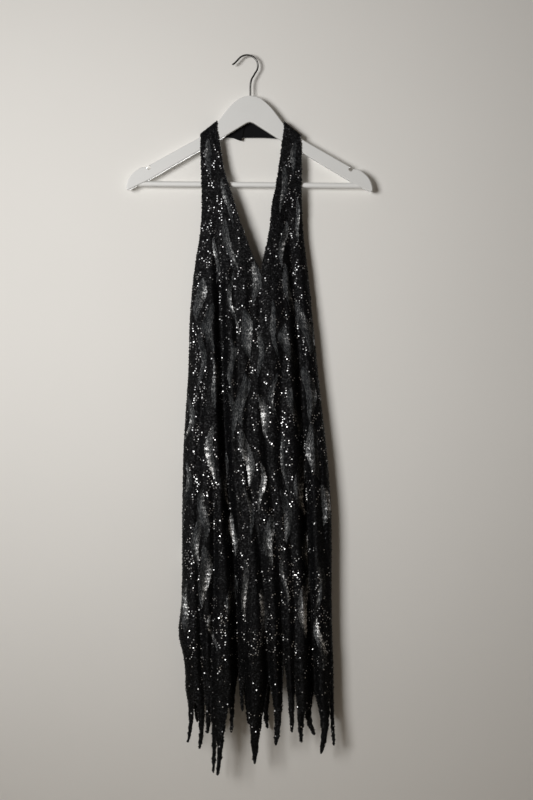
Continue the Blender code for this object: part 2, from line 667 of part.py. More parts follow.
def hook_path():
    """x and height, in metres, of the hook's wire: its middle line from the free end down into the wood."""
    lip = [(x * MM, -drop * MM) for x, drop in HOOK_LIP]
    centre_z = HOOK_WIRE - HOOK_BEND
    turns = np.linspace(*HOOK_TURNS, HOOK_STEPS)
    bend = [(HOOK_BEND * cos(angle), centre_z + HOOK_BEND * sin(angle)) for angle in turns]
    neck = [(x * MM, -drop * MM) for x, drop in HOOK_NECK]
    stem = [(HANGER_X, -CROWN_DROP - STEM_DEPTH + 2 * GAP)]
    return lip + bend + neck + stem


def make_hanger_hook(material, collection):
    """The bent wire hook."""
    curve = bpy.data.curves.new("hanger_hook", "CURVE")
    curve.dimensions = "3D"
    curve.bevel_depth = HOOK_WIRE
    curve.bevel_resolution = 2
    curve.use_fill_caps = True
    path = hook_path()
    spline = curve.splines.new("POLY")
    spline.points.add(len(path) - 1)
    for point, (x, z) in zip(spline.points, path):
        point.co = (x, 0.0, z, 1.0)
    spline.use_smooth = True
    return add_object("hanger_hook", curve, material, collection)


def build():
    """Builds the dress and its hanger."""
    clear_scene()
    parts = make_collection("beaded_evening_dress")
    cutters = make_collection("cutters")
    frame = bpy.data.objects.new("hanger_frame", None)
    frame.location = (HANGER_X, 0.0, -CROWN_DROP)
    frame.rotation_euler = (0.0, HANGER_TILT, 0.0)
    parts.objects.link(frame)

    make_front(make_material("front beads", BLACK_BEADS, 0.45), parts)
    make_back(make_material("back beads", BLACK_BEADS, 0.45), parts)
    for side in ("left", "right"):
        make_neckband(side, make_material("neckband " + side, BLACK_LINING, 0.8), parts)
    button_x = sum(BAND_OVERLAP_X) / 2
    for place, height in (("upper", 0.75), ("lower", 0.25)):
        make_button("neck_button_" + place, button_x, BAND_LOW_DROP - height * BAND_HEIGHT,
                    make_material(place + " button", BLACK_BUTTON, 0.35), parts)

    make_hanger_body(make_material("hanger paint", WHITE_PAINT, 0.5), parts, cutters, frame)
    make_hanger_bar(make_material("bar paint", WHITE_PAINT, 0.5), parts, frame)
    make_hanger_hook(make_material("hook steel", STEEL, 0.3, 1.0), parts)


build()
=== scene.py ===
"""A black beaded evening dress with a halter neck, hung by its straps over a white wooden hanger.

Tables are in millimetres. A drop is a distance below the inner top of the hanger's hook, which is the origin.
"""
from math import pi, radians

import bmesh
import bpy
import numpy as np
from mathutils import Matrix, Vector


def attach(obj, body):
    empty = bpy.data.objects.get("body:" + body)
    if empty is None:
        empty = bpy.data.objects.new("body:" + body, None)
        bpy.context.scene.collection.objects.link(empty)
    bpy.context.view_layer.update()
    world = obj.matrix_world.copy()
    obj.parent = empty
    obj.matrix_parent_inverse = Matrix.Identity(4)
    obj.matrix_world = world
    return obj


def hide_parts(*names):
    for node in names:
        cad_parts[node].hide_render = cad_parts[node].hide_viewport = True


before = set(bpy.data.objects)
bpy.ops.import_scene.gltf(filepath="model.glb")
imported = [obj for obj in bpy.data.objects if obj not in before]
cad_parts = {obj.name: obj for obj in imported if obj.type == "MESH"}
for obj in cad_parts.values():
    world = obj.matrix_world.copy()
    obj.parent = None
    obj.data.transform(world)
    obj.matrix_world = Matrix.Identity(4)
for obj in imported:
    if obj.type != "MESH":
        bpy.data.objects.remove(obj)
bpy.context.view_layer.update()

# The front, with its two straps
# One panel of black net, cut low in a V, whose straps fold back over the hanger's arms. It is covered with
# seed beads, so it is heavy and hangs in long soft folds, and its hem is cut into pointed tails.

MM = 0.001
CLOTH = 1.2 * MM             # net with its beads' backs
UNDERARM_DROP = 345
V_POINT = (25.4, 381)
ARCH_POWER = 2.4
ARM_WRAP = 7.4               # from the hanger's middle to the middle of the folded strap
WRAP_POWER = 2.6
STRAP_END = 1.6              # that hangs behind the arm, into the neckband's seam
STRAPS_FREE_DROP = 250
FRONT_CLEAR = 6.0
SEAM = 0.15                  # from the plane of the side seams
HEM_LEFT = (-106.3, 1110)
FRONT_ROWS = 110             # of the panel's mesh
STRAP_ROWS = 60
WRAP_ROWS = 12
TAILS_LEFT_OF_V = 9
SMOOTH_ABOVE = (150, 330)    # drops between which the creases and ripples grow
BEADS_A_METRE = 560.0

# Drop, left edge, right edge
OUTLINE = np.array((
    (110, -80.5, 93.5), (150, -80.5, 94.5), (305, -80.5, 97), (375, -91, 105), (445, -98, 112),
    (550, -101.5, 122.5), (628, -106.5, 131), (690, -110, 138), (777, -112, 145), (952, -113.5, 147),
    (1020, -117.2, 148), (1046, -110.8, 149.3), (1075, -107.2, 150), (1110, -106.3, 150.5),
))
# Drop, inner edge of the left strap, inner edge of the right strap
NECKLINE = np.array((
    (110, -53.5, 65.6), (160, -46.9, 60.6), (200, -40.8, 55.5), (231, -30.8, 50.6), (262, -21.5, 44.3),
    (290, -12.9, 41.6), (323, -0.7, 36.6), (355, 11.4, 29.6), (381, 25.4, 25.4),
))
# Drop, how far the front stands off the seams, and the back
STAND = np.array((
    (110, 0, 10), (170, 1.5, 10), (250, 8, 10), (345, 20, 12), (480, 31, 15), (690, 39, 20), (900, 42, 22),
    (1110, 40, 21),
))
# Long folds: x and depth of each valley at the drops, and half its width
FRONT_FOLD_DROPS = (252, 380, 471, 690, 908, 1092)
FRONT_FOLDS = (
    ("side left", (-72, -74, -69, -84, -83, -75.3), (0, 4, 9, 8, 12, 15), 7),
    ("low left", (-60, -60, -60, -58, -56.5, -62), (0, 0, 0, 4, 12, 14), 7),
    ("main left", (-52.5, -49, -45.5, -36.8, -21, -14), (5, 18, 30, 44, 46, 40), 8.2),
    ("bodice left", (-33, -24, -17.5, -15.8, -1.8, -4.9), (2, 5, 7, 6, 7, 20), 8),
    ("centre", (4, 6, 8.8, 1.8, 28, 38.3), (0, 2, 5, 8, 9, 22), 8),
    ("right of centre", (22, 22, 22.8, 35, 57.8, 63.9), (0, 2, 4, 6, 9, 22), 8.5),
    ("bodice right", (62, 66, 64, 59.5, 80.5, 83.5), (0, 2, 4, 7, 7, 14), 8),
    ("main right", (70, 80, 87.5, 99.8, 108.5, 116.6), (5, 18, 32, 44, 46, 40), 8.2),
    ("side right", (90, 100, 108, 124.3, 138.2, 144), (0, 0, 0, 9, 11, 11), 6),
)
# Small creases: first and last drop, x there, sideways bow, depth (a ridge is negative), half width
FRONT_CREASES = (
    (300, 470, -62, -80, 3, 1, 4.2), (330, 520, -30, -58, -4, 0.9, 4), (386, 560, 24, 12, 2, 1.6, 3.8),
    (392, 620, 30, 48, -3, 1.5, 4.2), (350, 500, 44, 74, 3, 0.9, 4), (300, 430, 84, 92, 1, 0.8, 4),
    (470, 760, -92, -98, -2, 1, 4.4), (520, 800, -70, -70, 4, 0.9, 4), (560, 880, -28, -8, -3, 1, 4),
    (600, 900, 18, 12, 4, -0.9, 4.4), (640, 960, 48, 70, -4, 1, 4), (520, 780, 76, 82, 3, -0.8, 4.4),
    (700, 1010, 118, 128, 2, 1, 4), (820, 1080, -100, -94, -2, 1, 4), (860, 1070, -44, -38, 3, 1.2, 3.8),
    (880, 1070, 10, 16, -3, 1.2, 3.8), (900, 1050, 44, 52, 2, -1, 4), (860, 1080, 92, 100, -3, 1.2, 3.8),
)
# Tails from the left: columns, right-hand notch, tip (each x, drop), strand, narrowing, bow, curl, swing
FRONT_TAILS = (
    (3, (-91.9, 1112), (-102.6, 1197), 4, 1.5, 2.5, -3, 4),
    (3, (-75.3, 1076), (-82.4, 1208), 6.5, 1.5, 3, -3.5, -3),
    (2, (-62.4, 1130), (-68.3, 1180), 5.5, 1.2, 0.5, -1.5, 2),
    (2, (-53.2, 1184), (-58.6, 1247), 4, 1.5, 0.8, -1, -2),
    (4, (-31.7, 1128), (-50.6, 1250), 7, 2, 0.5, -1.5, 3),
    (3, (-14.5, 1068), (-27, 1179), 5, 2.6, -0.8, -1.5, -3),
    (2, (-4.9, 1080), (-7.5, 1143), 4.5, 1.2, -0.6, 0.8, 2),
    (6, (38.3, 1088), (13.7, 1232), 7, 0.8, 0, 1, -2),
    (4, (63.9, 1043), (50, 1199), 9.5, 1.8, 2.5, -3.5, 4),
    (3, (83.5, 1080), (78.4, 1178), 6.5, 1.2, 0.8, 0.5, -2),
    (3, (101.9, 1134), (94.3, 1194), 6, 1.2, -1, 1, 2),
    (3, (116.6, 1107), (117.6, 1184), 4.5, 1.3, -3.5, 5, -4),
    (4, (144, 1093), (128.8, 1216), 8, 1.2, 3.5, -6, 5),
    (2, (150.5, 1110), (151.4, 1204), 4.5, 1, -0.5, 0.5, 2),
)
# Crests of the straps' folds over the arms: x and drop at the outer edge, then at the inner edge
STRAP_CRESTS = {"left": ((-80.5, 136.8), (-53, 115.2)), "right": ((93.3, 139.4), (65.2, 116.2))}
FINER = 3                    # columns of cloth to each of the tails' columns
TAIL_STATIONS = np.concatenate((np.linspace(0.0, 0.9, 13), (0.94, 0.97, 0.99, 1.0)))


def line_through(stations, values):
    """A smooth line through values at rising stations: a cubic for each stretch, with the mean slopes."""
    stations = np.array(stations, float)
    values = np.array(values, float)
    slopes = np.gradient(values, stations)

    def read(at):
        at = np.clip(np.asarray(at, float), stations[0], stations[-1])
        i = np.clip(np.searchsorted(stations, at) - 1, 0, len(stations) - 2)
        step = stations[i + 1] - stations[i]
        t = (at - stations[i]) / step
        near = (1 + 2 * t) * (1 - t) ** 2 * values[i] + t * (1 - t) ** 2 * step * slopes[i]
        far = t * t * (3 - 2 * t) * values[i + 1] + t * t * (t - 1) * step * slopes[i + 1]
        return near + far

    return read


def ease(low, high, at):
    """Rises from 0 at low to 1 at high along 3t² - 2t³."""
    t = np.clip((np.asarray(at, float) - low) / (high - low), 0.0, 1.0)
    return t * t * (3 - 2 * t)


def between(low, high, share, drop):
    """x at a share of the way from one line to another."""
    return low(drop) + (high(drop) - low(drop)) * share


left_edge, right_edge = (line_through(OUTLINE[:, 0], OUTLINE[:, k]) for k in (1, 2))
left_neckline, right_neckline = (line_through(NECKLINE[:, 0], NECKLINE[:, k]) for k in (1, 2))
front_stand, back_stand = (line_through(STAND[:, 0], STAND[:, k]) for k in (1, 2))


def fold_depth(x, drop, folds, drops, most):
    """Depth of the long folds: a bell across each valley's line, and most (1 - exp(-sum / most)) of them."""
    total = np.zeros_like(x)
    for name, places, depths, half_width in folds:
        middle = line_through(drops, places)(drop)
        depth = np.clip(line_through(drops, depths)(drop), 0.0, None)
        total = total + depth * np.exp(-((x - middle) / half_width) ** 2)
    return most * (1 - np.exp(-total / np.maximum(most, 0.01)))


def crease_depth(x, drop, creases):
    """Depth of the small creases: a bell across each line, which fades in and out along it."""
    total = np.zeros_like(x)
    for first, last, start_x, end_x, bow, depth, half_width in creases:
        t = (drop - first) / (last - first)
        middle = start_x + (end_x - start_x) * t + bow * np.sin(pi * np.clip(t, 0, 1))
        fade = np.sin(pi * np.clip(t, 0, 1)) ** 0.7
        total = total + depth * fade * np.exp(-((x - middle) / half_width) ** 2)
    return total


def ripples(x, drop, seed):
    """Unevenness of hanging cloth: sine waves 17 and 9.5 long across it, which wander and swell down it."""
    wander = 5.0 * np.sin(drop / 83.0 + seed) + 3.0 * np.sin(drop / 37.0 + 2.1 * seed)
    fine = 0.30 * np.sin((x + wander) * 2 * pi / 17.0) * (0.6 + 0.4 * np.sin(drop / 61.0 + seed))
    finer = 0.14 * np.sin((x - 1.6 * wander) * 2 * pi / 9.5 + 1.3 * seed)
    return fine + finer * (0.5 + 0.5 * np.sin(drop / 43.0 + 2 * seed))


def seam_plane(drop):
    """How far the edges lie before the hanger's middle: clear of the arms on the straps, 0 at the seams."""
    return ARM_WRAP * (1 - ease(STRAPS_FREE_DROP, UNDERARM_DROP, drop))


def width_share(x, drop):
    """0 at the left edge and 1 at the right one."""
    return (x - left_edge(drop)) / (right_edge(drop) - left_edge(drop))


def arch(x, drop):
    """0 at the side edges and 1 in the middle: (1 - |w|^p)^(1/q), with w from -1 to 1 across the cloth."""
    inside = 1 - np.abs(np.clip(2 * width_share(x, drop) - 1, -1, 1)) ** ARCH_POWER
    power = 1 + (ARCH_POWER - 1) * ease(STRAPS_FREE_DROP, UNDERARM_DROP, drop)
    return inside ** (1 / power)


def front_y(x, drop):
    """Depth of the front: the arch less its long folds, with creases and ripples that fade at the edges."""
    stand = front_stand(drop)
    curve = arch(x, drop)
    folds = fold_depth(x, drop, FRONT_FOLDS, FRONT_FOLD_DROPS, np.maximum(stand - FRONT_CLEAR, 0.5))
    small = (crease_depth(x, drop, FRONT_CREASES) + ripples(x, drop, 0.7)) * curve * ease(*SMOOTH_ABOVE, drop)
    return -(seam_plane(drop) + SEAM + (stand - folds) * curve) + small


def root_line(tails):
    """The hem line that the tails hang from: x and drop at each column of cloth."""
    x, drop = HEM_LEFT
    points = [(x, drop)]
    for tail in tails:
        columns = tail[0] * FINER
        notch_x, notch_drop = tail[1]
        for k in range(1, columns + 1):
            points.append((x + (notch_x - x) * k / columns, drop + (notch_drop - drop) * k / columns))
        x, drop = notch_x, notch_drop
    return np.array(points)


def panel(shares, root, top_drops, depth, rows):
    """A panel down to the hem line, where each column, which keeps its share of the width, has its point."""
    hem_shares = (root[:, 0] - root[0, 0]) / (root[-1, 0] - root[0, 0])
    r = np.linspace(0.0, 1.0, rows + 1)[:, None]
    mean = root[:, 1].mean()
    drop = top_drops + (mean - top_drops) * r + (root[:, 1] - mean) * r ** 5
    share = shares + (hem_shares - shares) * ease(0.15, 1.0, r)
    x = between(left_edge, right_edge, share, drop)
    x = x + (root[:, 0] - x[-1]) * ease(0.7, 1.0, r)
    return np.stack((x, depth(x, drop), drop), axis=2)


def tail_of_cloth(tail, root):
    """A tail: its middle line bows and curls to the tip, and its width shrinks to a strand's and closes."""
    columns, notch, (tip_x, tip_drop), strand, narrowing, bow, curl, swing = tail
    middle = (root[0] + root[-1]) / 2
    root_width = root[-1, 0] - root[0, 0]
    s = TAIL_STATIONS[:, None]
    width = (root_width - strand) * (1 - s) ** (narrowing + 0.6) + strand * (1 - s ** 8) ** 0.6
    centre = middle[0] + (tip_x - curl - middle[0]) * s + bow * np.sin(pi * s) + curl * s ** 4
    flat = ease(0.0, 0.6, s)
    x = centre + (root[:, 0] - middle[0]) * width / root_width
    mean_y = root[:, 1].mean()
    y = root[:, 1] + (middle[1] - root[:, 1]) * flat + (mean_y - middle[1] - swing * s) * flat
    drop = root[:, 2] + (tip_drop - root[:, 2]) * s
    uneven = 0.7 * np.sin(drop / 2.3 + 1.7 * (root[:, 0] - middle[0])) + 0.5 * np.sin(drop / 4.1 + root[:, 0])
    x = x + uneven * ease(0.05, 0.3, s)
    cup = 0.35 * width * (((root[:, 0] - middle[0]) / root_width) ** 2 * 4 - 0.4) * flat * (1 - s)
    return np.stack((x, y + cup, drop), axis=2)


def over_tails(tails, hem):
    """The hem's points, shared out among the tails that hang from it."""
    ends = np.cumsum([0] + [tail[0] * FINER for tail in tails])
    return [hem[first:last + 1] for first, last in zip(ends[:-1], ends[1:])]


def tails_of(tails, hem):
    """The tails in order along a panel's last row."""
    return [tail_of_cloth(tail, root) for tail, root in zip(tails, over_tails(tails, hem))]


def strap_crest(side, share):
    """x and drop of the crest of a strap's fold; share runs from the outer to the inner edge."""
    (outer_x, outer_drop), (inner_x, inner_drop) = STRAP_CRESTS[side]
    return outer_x + (inner_x - outer_x) * share, outer_drop + (inner_drop - outer_drop) * share


def wrap_point(angle):
    """y and drop under the crest on the fold, round a squared circle: 0 is in front, half a turn behind."""
    y = -ARM_WRAP * np.sign(np.cos(angle)) * np.abs(np.cos(angle)) ** (2 / WRAP_POWER)
    down = ARM_WRAP * (1 - np.abs(np.sin(angle)) ** (2 / WRAP_POWER))
    return y, down


def strap(outer_edge, inner_edge, side, from_outer):
    """A strap: from behind the arm over its crest, then down in front between its two edges."""
    crest_x, crest_drop = strap_crest(side, from_outer)
    angle = pi * (1 - np.arange(WRAP_ROWS) / WRAP_ROWS)[:, None]
    y, down = wrap_point(angle)
    wrapped = np.stack(np.broadcast_arrays(crest_x + 0 * angle, y, crest_drop + down), axis=2)
    behind = wrapped[:1] + (0.0, 0.0, STRAP_END)
    k = np.linspace(0.0, 1.0, STRAP_ROWS + 1)[:, None]
    top = crest_drop + ARM_WRAP
    drop = top + (V_POINT[1] - top) * k
    x = between(outer_edge, inner_edge, from_outer, drop)
    x = crest_x + (x - crest_x) * ease(0.0, 0.12, k)
    return np.concatenate((behind, wrapped, np.stack((x, front_y(x, drop), drop), axis=2)))


def metres(grid):
    """Points given as x, y and drop in millimetres, as places in metres."""
    return np.stack((grid[..., 0], grid[..., 1], -grid[..., 2]), axis=-1) * MM


def cloth_mesh(grids, flats, outward_is_front):
    """Joins grids of points into one sheet, with a UV map in metres along the cloth's width and length."""
    places = []
    corners = []
    flat = []
    first = 0
    for grid, across in zip(grids, flats):
        rows, columns, _ = grid.shape
        index = first + np.arange(rows * columns).reshape(rows, columns)
        quads = np.stack((index[1:, :-1], index[1:, 1:], index[:-1, 1:], index[:-1, :-1]), axis=-1)
        quads = quads.reshape(-1, 4)
        places.append(metres(grid).reshape(-1, 3))
        corners.append(quads if outward_is_front else quads[:, ::-1])
        across = np.broadcast_to(across, grid.shape[:2])
        flat.append(np.stack((across, -grid[..., 2]), axis=-1).reshape(-1, 2) * MM)
        first += rows * columns
    corners = np.concatenate(corners)
    mesh = bpy.data.meshes.new("cloth")
    mesh.from_pydata(np.concatenate(places), [], corners.tolist())
    layer = mesh.uv_layers.new(name="cloth")
    layer.data.foreach_set("uv", np.concatenate(flat)[corners.ravel()].astype(np.float32).ravel())
    welded = bmesh.new()
    welded.from_mesh(mesh)
    bmesh.ops.remove_doubles(welded, verts=welded.verts, dist=0.01 * MM)
    bmesh.ops.dissolve_degenerate(welded, edges=welded.edges, dist=0.005 * MM)
    welded.to_mesh(mesh)
    welded.free()
    mesh.shade_smooth()
    return mesh


def add_piece(name, mesh, material, nodes=()):
    """A finished piece of the visible object, which rides on the part's one body."""
    mesh.name = name
    piece = bpy.data.objects.new(name, mesh)
    bpy.context.scene.collection.objects.link(piece)
    mesh.materials.append(material)
    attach(piece, "root")
    if nodes:
        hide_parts(*nodes)
    return piece


def give_wall(piece, thickness):
    """Gives a sheet its thickness, half to each side."""
    wall = piece.modifiers.new("wall", "SOLIDIFY")
    wall.thickness = thickness
    wall.offset = 0.0
    wall.use_even_offset = False


class Number:
    """A socket that holds a number or a vector, so that shader maths can be written as an expression."""

    def __init__(self, recipe, socket):
        self.recipe = recipe
        self.socket = socket

    def __add__(self, other):
        return self.recipe.maths("ADD", self, other)

    def __mul__(self, other):
        return self.recipe.maths("MULTIPLY", self, other)

    def __radd__(self, other):
        return self.recipe.maths("ADD", other, self)

    def __rsub__(self, other):
        return self.recipe.maths("SUBTRACT", other, self)

    def __rmul__(self, other):
        return self.recipe.maths("MULTIPLY", other, self)


class Finish:
    """One material: its Principled shader, and the nodes that feed it."""

    def __init__(self, name, **constants):
        self.material = bpy.data.materials.new(name)
        self.material.use_nodes = True
        self.tree = self.material.node_tree
        self.shader = self.tree.nodes["Principled BSDF"]
        for socket, value in constants.items():
            self.shader.inputs[socket.replace("_", " ")].default_value = value

    def node(self, kind, settings, sockets, output=0):
        """Adds a node: its settings first, then the values or links of its sockets."""
        added = self.tree.nodes.new(kind)
        for name, value in settings.items():
            setattr(added, name, value)
        for name, value in sockets.items():
            if isinstance(value, Number):
                self.tree.links.new(value.socket, added.inputs[name])
            else:
                added.inputs[name].default_value = value
        return Number(self, added.outputs[output])

    def maths(self, operation, a, b):
        """One operation on two numbers."""
        return self.node("ShaderNodeMath", {"operation": operation}, {0: a, 1: b})

    def limits(self, value, low, high):
        """Runs from 0 at low to 1 at high, and stays within them."""
        return self.node("ShaderNodeMapRange", {"clamp": True}, {0: value, 1: low, 2: high, 3: 0.0, 4: 1.0})

    def place(self, scale=(1.0, 1.0, 1.0), uv=None):
        """Object coordinates, or a UV map's, stretched by scale."""
        if uv:
            where = self.node("ShaderNodeUVMap", {"uv_map": uv}, {})
        else:
            where = self.node("ShaderNodeTexCoord", {}, {}, "Object")
        return self.node("ShaderNodeMapping", {}, {"Vector": where, "Scale": scale})

    def noise(self, where, scale, detail=2.0):
        """Cloudy noise from 0 to 1."""
        return self.node("ShaderNodeTexNoise", {}, {"Vector": where, "Scale": scale, "Detail": detail})

    def attribute(self, name):
        """A number that the mesh holds at each point."""
        return self.node("ShaderNodeAttribute", {"attribute_name": name}, {}, "Fac")

    def blend(self, share, one, two):
        """Mixes two colours."""
        sockets = {0: share, 6: (*one, 1.0), 7: (*two, 1.0)}
        return self.node("ShaderNodeMix", {"data_type": "RGBA"}, sockets, 2)

    def bump(self, height, distance):
        """Normals of a height, in units of distance."""
        return self.node("ShaderNodeBump", {}, {"Height": height, "Distance": distance, "Strength": 1.0})

    def feed(self, **sockets):
        """Links nodes to the shader's sockets."""
        for name, value in sockets.items():
            self.tree.links.new(value.socket, self.shader.inputs[name.replace("_", " ")])
        return self.material


def beaded_net(name):
    """Net under its beads: near black, with a bump of round cells a bead wide, a few of them greyer."""
    finish = Finish(name, Specular_IOR_Level=0.12)
    where = finish.place(uv="cloth")
    settings = {"voronoi_dimensions": "2D", "feature": "F1"}
    cells = {"Vector": where, "Scale": BEADS_A_METRE, "Randomness": 0.75}
    beads = finish.node("ShaderNodeTexVoronoi", settings, cells, "Distance")
    tint = finish.node("ShaderNodeTexVoronoi", settings, cells, "Color")
    grey = finish.node("ShaderNodeSeparateColor", {}, {0: tint}, 0)
    worn = finish.limits(grey * finish.noise(where, 18.0, 3.0), 0.2, 0.6)
    return finish.feed(
        Base_Color=finish.blend(worn, (0.0025, 0.0025, 0.003), (0.014, 0.014, 0.015)),
        Roughness=0.42 + 0.3 * grey,
        Normal=finish.bump(1.0 - beads, 0.0007),
    )


root = root_line(FRONT_TAILS)
even = np.linspace(0.0, 1.0, len(root))
split = FINER * sum(tail[0] for tail in FRONT_TAILS[:TAILS_LEFT_OF_V])
v_share = width_share(*V_POINT)
front_shares = np.where(even <= even[split], even / even[split] * v_share,
                        v_share + (even - even[split]) / (1 - even[split]) * (1 - v_share))
front_skirt = panel(front_shares, root, np.full(len(root), float(V_POINT[1])), front_y, FRONT_ROWS)
left_strap = strap(left_edge, left_neckline, "left", front_shares[:split + 1] / v_share)
right_strap = strap(right_edge, right_neckline, "right", (1 - front_shares[split:]) / (1 - v_share))
left_strap[-1] = front_skirt[0, :split + 1]
right_strap[-1] = front_skirt[0, split:]
front_tails = tails_of(FRONT_TAILS, front_skirt[-1])
hem_x = root[:, 0]
front_flats = [hem_x[:split + 1], hem_x[split:], hem_x, *over_tails(FRONT_TAILS, hem_x)]
front_mesh = cloth_mesh([left_strap, right_strap, front_skirt, *front_tails], front_flats, True)
front_cloth = add_piece("front_cloth", front_mesh, beaded_net("front net"), ["front"])
give_wall(front_cloth, CLOTH)

# Sequins over the front
# Small black cupped sequins, sewn one over the next in lines down the cloth. Each one's lower edge rides on
# the next, and they lie a little unevenly, so a few at a time catch the light.

BLACK_SEQUIN = 1.22          # radius
SEQUIN_AREA = 3.7            # of cloth for each, in square millimetres
SEQUIN_LIFT = 1.05           # of a sequin's middle over the middle of the cloth
SEQUIN_LEAN = 0.04
SEQUIN_TILT = 0.24


def unit(vectors):
    """The vectors at length 1."""
    return vectors / np.maximum(np.linalg.norm(vectors, axis=-1, keepdims=True), 1e-12)


def sewn_places(grid, area_each, seed):
    """Places in lines down a grid of cloth, each with the same area of cloth to itself.

    The cells' areas are added up column by column, and a place is put wherever the sum passes a whole share.
    Gives the places, the outward normals and the directions down the cloth.
    """
    rng = np.random.default_rng(seed)
    a, b, c, d = grid[:-1, :-1], grid[:-1, 1:], grid[1:, 1:], grid[1:, :-1]
    across = (b + c - a - d) / 2
    down = (c + d - a - b) / 2
    facing = np.cross(down, across)
    area = np.linalg.norm(facing, axis=2) / MM ** 2
    passed = np.floor(np.cumsum(area.T.ravel()) / area_each + rng.random()).astype(int)
    each = np.diff(passed, prepend=0)
    cell = np.repeat(np.arange(each.size), each)
    turn = np.arange(cell.size) - np.repeat(np.cumsum(each) - each, each)
    v = ((turn + 0.5 + 0.5 * (rng.random(cell.size) - 0.5)) / each[cell])[:, None]
    u = (0.5 + 0.6 * (rng.random(cell.size) - 0.5))[:, None]
    r = cell % area.shape[0]
    k = cell // area.shape[0]
    place = (a[r, k] * (1 - u) + b[r, k] * u) * (1 - v) + (d[r, k] * (1 - u) + c[r, k] * u) * v
    return place, unit(facing[r, k]), unit(down[r, k])


def polygon_mesh(points, faces, tone, smooth):
    """A mesh of faces that all have as many corners, with a number at each point, the tone."""
    mesh = bpy.data.meshes.new("beads")
    mesh.vertices.add(len(points))
    mesh.vertices.foreach_set("co", points.astype(np.float32).ravel())
    mesh.loops.add(faces.size)
    mesh.loops.foreach_set("vertex_index", faces.astype(np.int32).ravel())
    mesh.polygons.add(len(faces))
    mesh.polygons.foreach_set("loop_start", np.arange(0, faces.size, faces.shape[1], dtype=np.int32))
    mesh.attributes.new("tone", "FLOAT", "POINT").data.foreach_set("value", np.asarray(tone, np.float32))
    mesh.update(calc_edges=True)
    if smooth:
        mesh.shade_smooth()
    else:
        mesh.shade_flat()
    return mesh


def disc_mesh(places, normals, downs, radius, tone):
    """A flat hexagon at each place: its corners are the place + radius (cos a · down + sin a · side)."""
    count = len(places)
    side = unit(np.cross(normals, downs))
    along = np.cross(side, normals)
    angle = np.arange(6) * pi / 3
    radius = np.broadcast_to(radius, count)[:, None, None] * MM
    ring = np.cos(angle)[None, :, None] * along[:, None] + np.sin(angle)[None, :, None] * side[:, None]
    corners = (places[:, None] + radius * ring).reshape(-1, 3)
    return polygon_mesh(corners, np.arange(count * 6).reshape(-1, 6), np.repeat(tone, 6), False)


def tilted(normals, downs, rng, lean, spread):
    """Normals leant back up the cloth by lean, and then any way by a random angle."""
    side = np.cross(normals, downs)
    a, b = rng.normal(0.0, spread, (2, len(normals), 1))
    return unit(normals - (lean + a) * downs + b * side)


def sequin_finish(name, dark, light, rough, specular):
    """Dyed plastic: tone runs from 0, dark, to 1, light, and a light sequin is also smoother."""
    finish = Finish(name, Specular_IOR_Level=specular)
    tone = finish.attribute("tone")
    return finish.feed(
        Base_Color=finish.blend(tone, dark, light),
        Roughness=rough[0] + (rough[1] - rough[0]) * tone,
    )


def sew_sequins(name, grids, seed, material, keep):
    """Covers grids of cloth with black sequins, except where keep says that something else is sewn."""
    rng = np.random.default_rng(seed)
    found = [sewn_places(metres(grid), SEQUIN_AREA, seed + i) for i, grid in enumerate(grids)]
    places, normals, downs = (np.concatenate(parts) for parts in zip(*found))
    wanted = keep(places)
    places, normals, downs = places[wanted], normals[wanted], downs[wanted]
    lean = tilted(normals, downs, rng, SEQUIN_LEAN, SEQUIN_TILT)
    tone = rng.random(len(places)) ** 3
    mesh = disc_mesh(places + normals * SEQUIN_LIFT * MM, lean, downs, BLACK_SEQUIN, tone)
    return add_piece(name, mesh, material)


# Leaves of beads on the front
# Long wavy leaves, filled with lines of hematite-grey glass tubes that lie end to end down the leaf. They sit
# between the black sequins, dark and silky, and one side of each carries a painted highlight: its tubes are
# made lighter there.

TUBE_LENGTH = 2.5
TUBE_PITCH = 1.4             # from one line of tubes to the next
TUBE_RADIUS = 0.80
TUBE_LIFT = 0.75
TUBE_GAP = 0.2               # between the tubes of a line
TUBE_ARC = (-78.0, -26.0, 26.0, 78.0)
TUBE_SUNK = 0.1              # share of the radius
TUBE_EDGE = 1.5              # clear of the cloth's edges
LEAF_WIDTHS = (4.4, 5.8, 7.4, 9.4)
LEAF_PAINTED_SHINES = (0.18, 0.34, 0.60, 1.0)
PAINTED_SHINE_SHARES = (0.22, 0.28, 0.26, 0.24)
PAINTED_SHINE_DROPS = (430, 900)     # between which the leaves and their painted highlights grow brighter
MIDDLE_ROW = 52              # where the panel's sequins are parted into pieces
HEM_ROW = 98
# Leaves of the straps: where, share of the width, first drop, length, half width, wave, phase, lean, painted
# shine
STRAP_LEAVES = (
    ("left strap", 0.36, 146, 66, 6, 1.5, 0.8, 2, 0.22),
    ("left strap", 0.80, 214, 86, 4.5, 2, 3.4, -2, 0.25), ("left strap", 0.62, 286, 92, 7, 3, 2.2, 5, 0.26),
    ("left strap", 0.34, 318, 84, 4, 2.5, 4.4, 2, 0.36),
    ("right strap", 0.64, 150, 58, 5, 1.5, 2.4, -2, 0.24),
    ("right strap", 0.30, 192, 84, 5.5, 2, 5.1, 2, 0.26),
    ("right strap", 0.44, 288, 84, 6, 2.5, 1.1, -3, 0.34),
    ("right strap", 0.86, 250, 76, 4, 2, 0.3, 2, 0.30),
)
EDGES = {
    "skirt": (left_edge, right_edge),
    "left strap": (left_edge, left_neckline),
    "right strap": (right_neckline, right_edge),
}


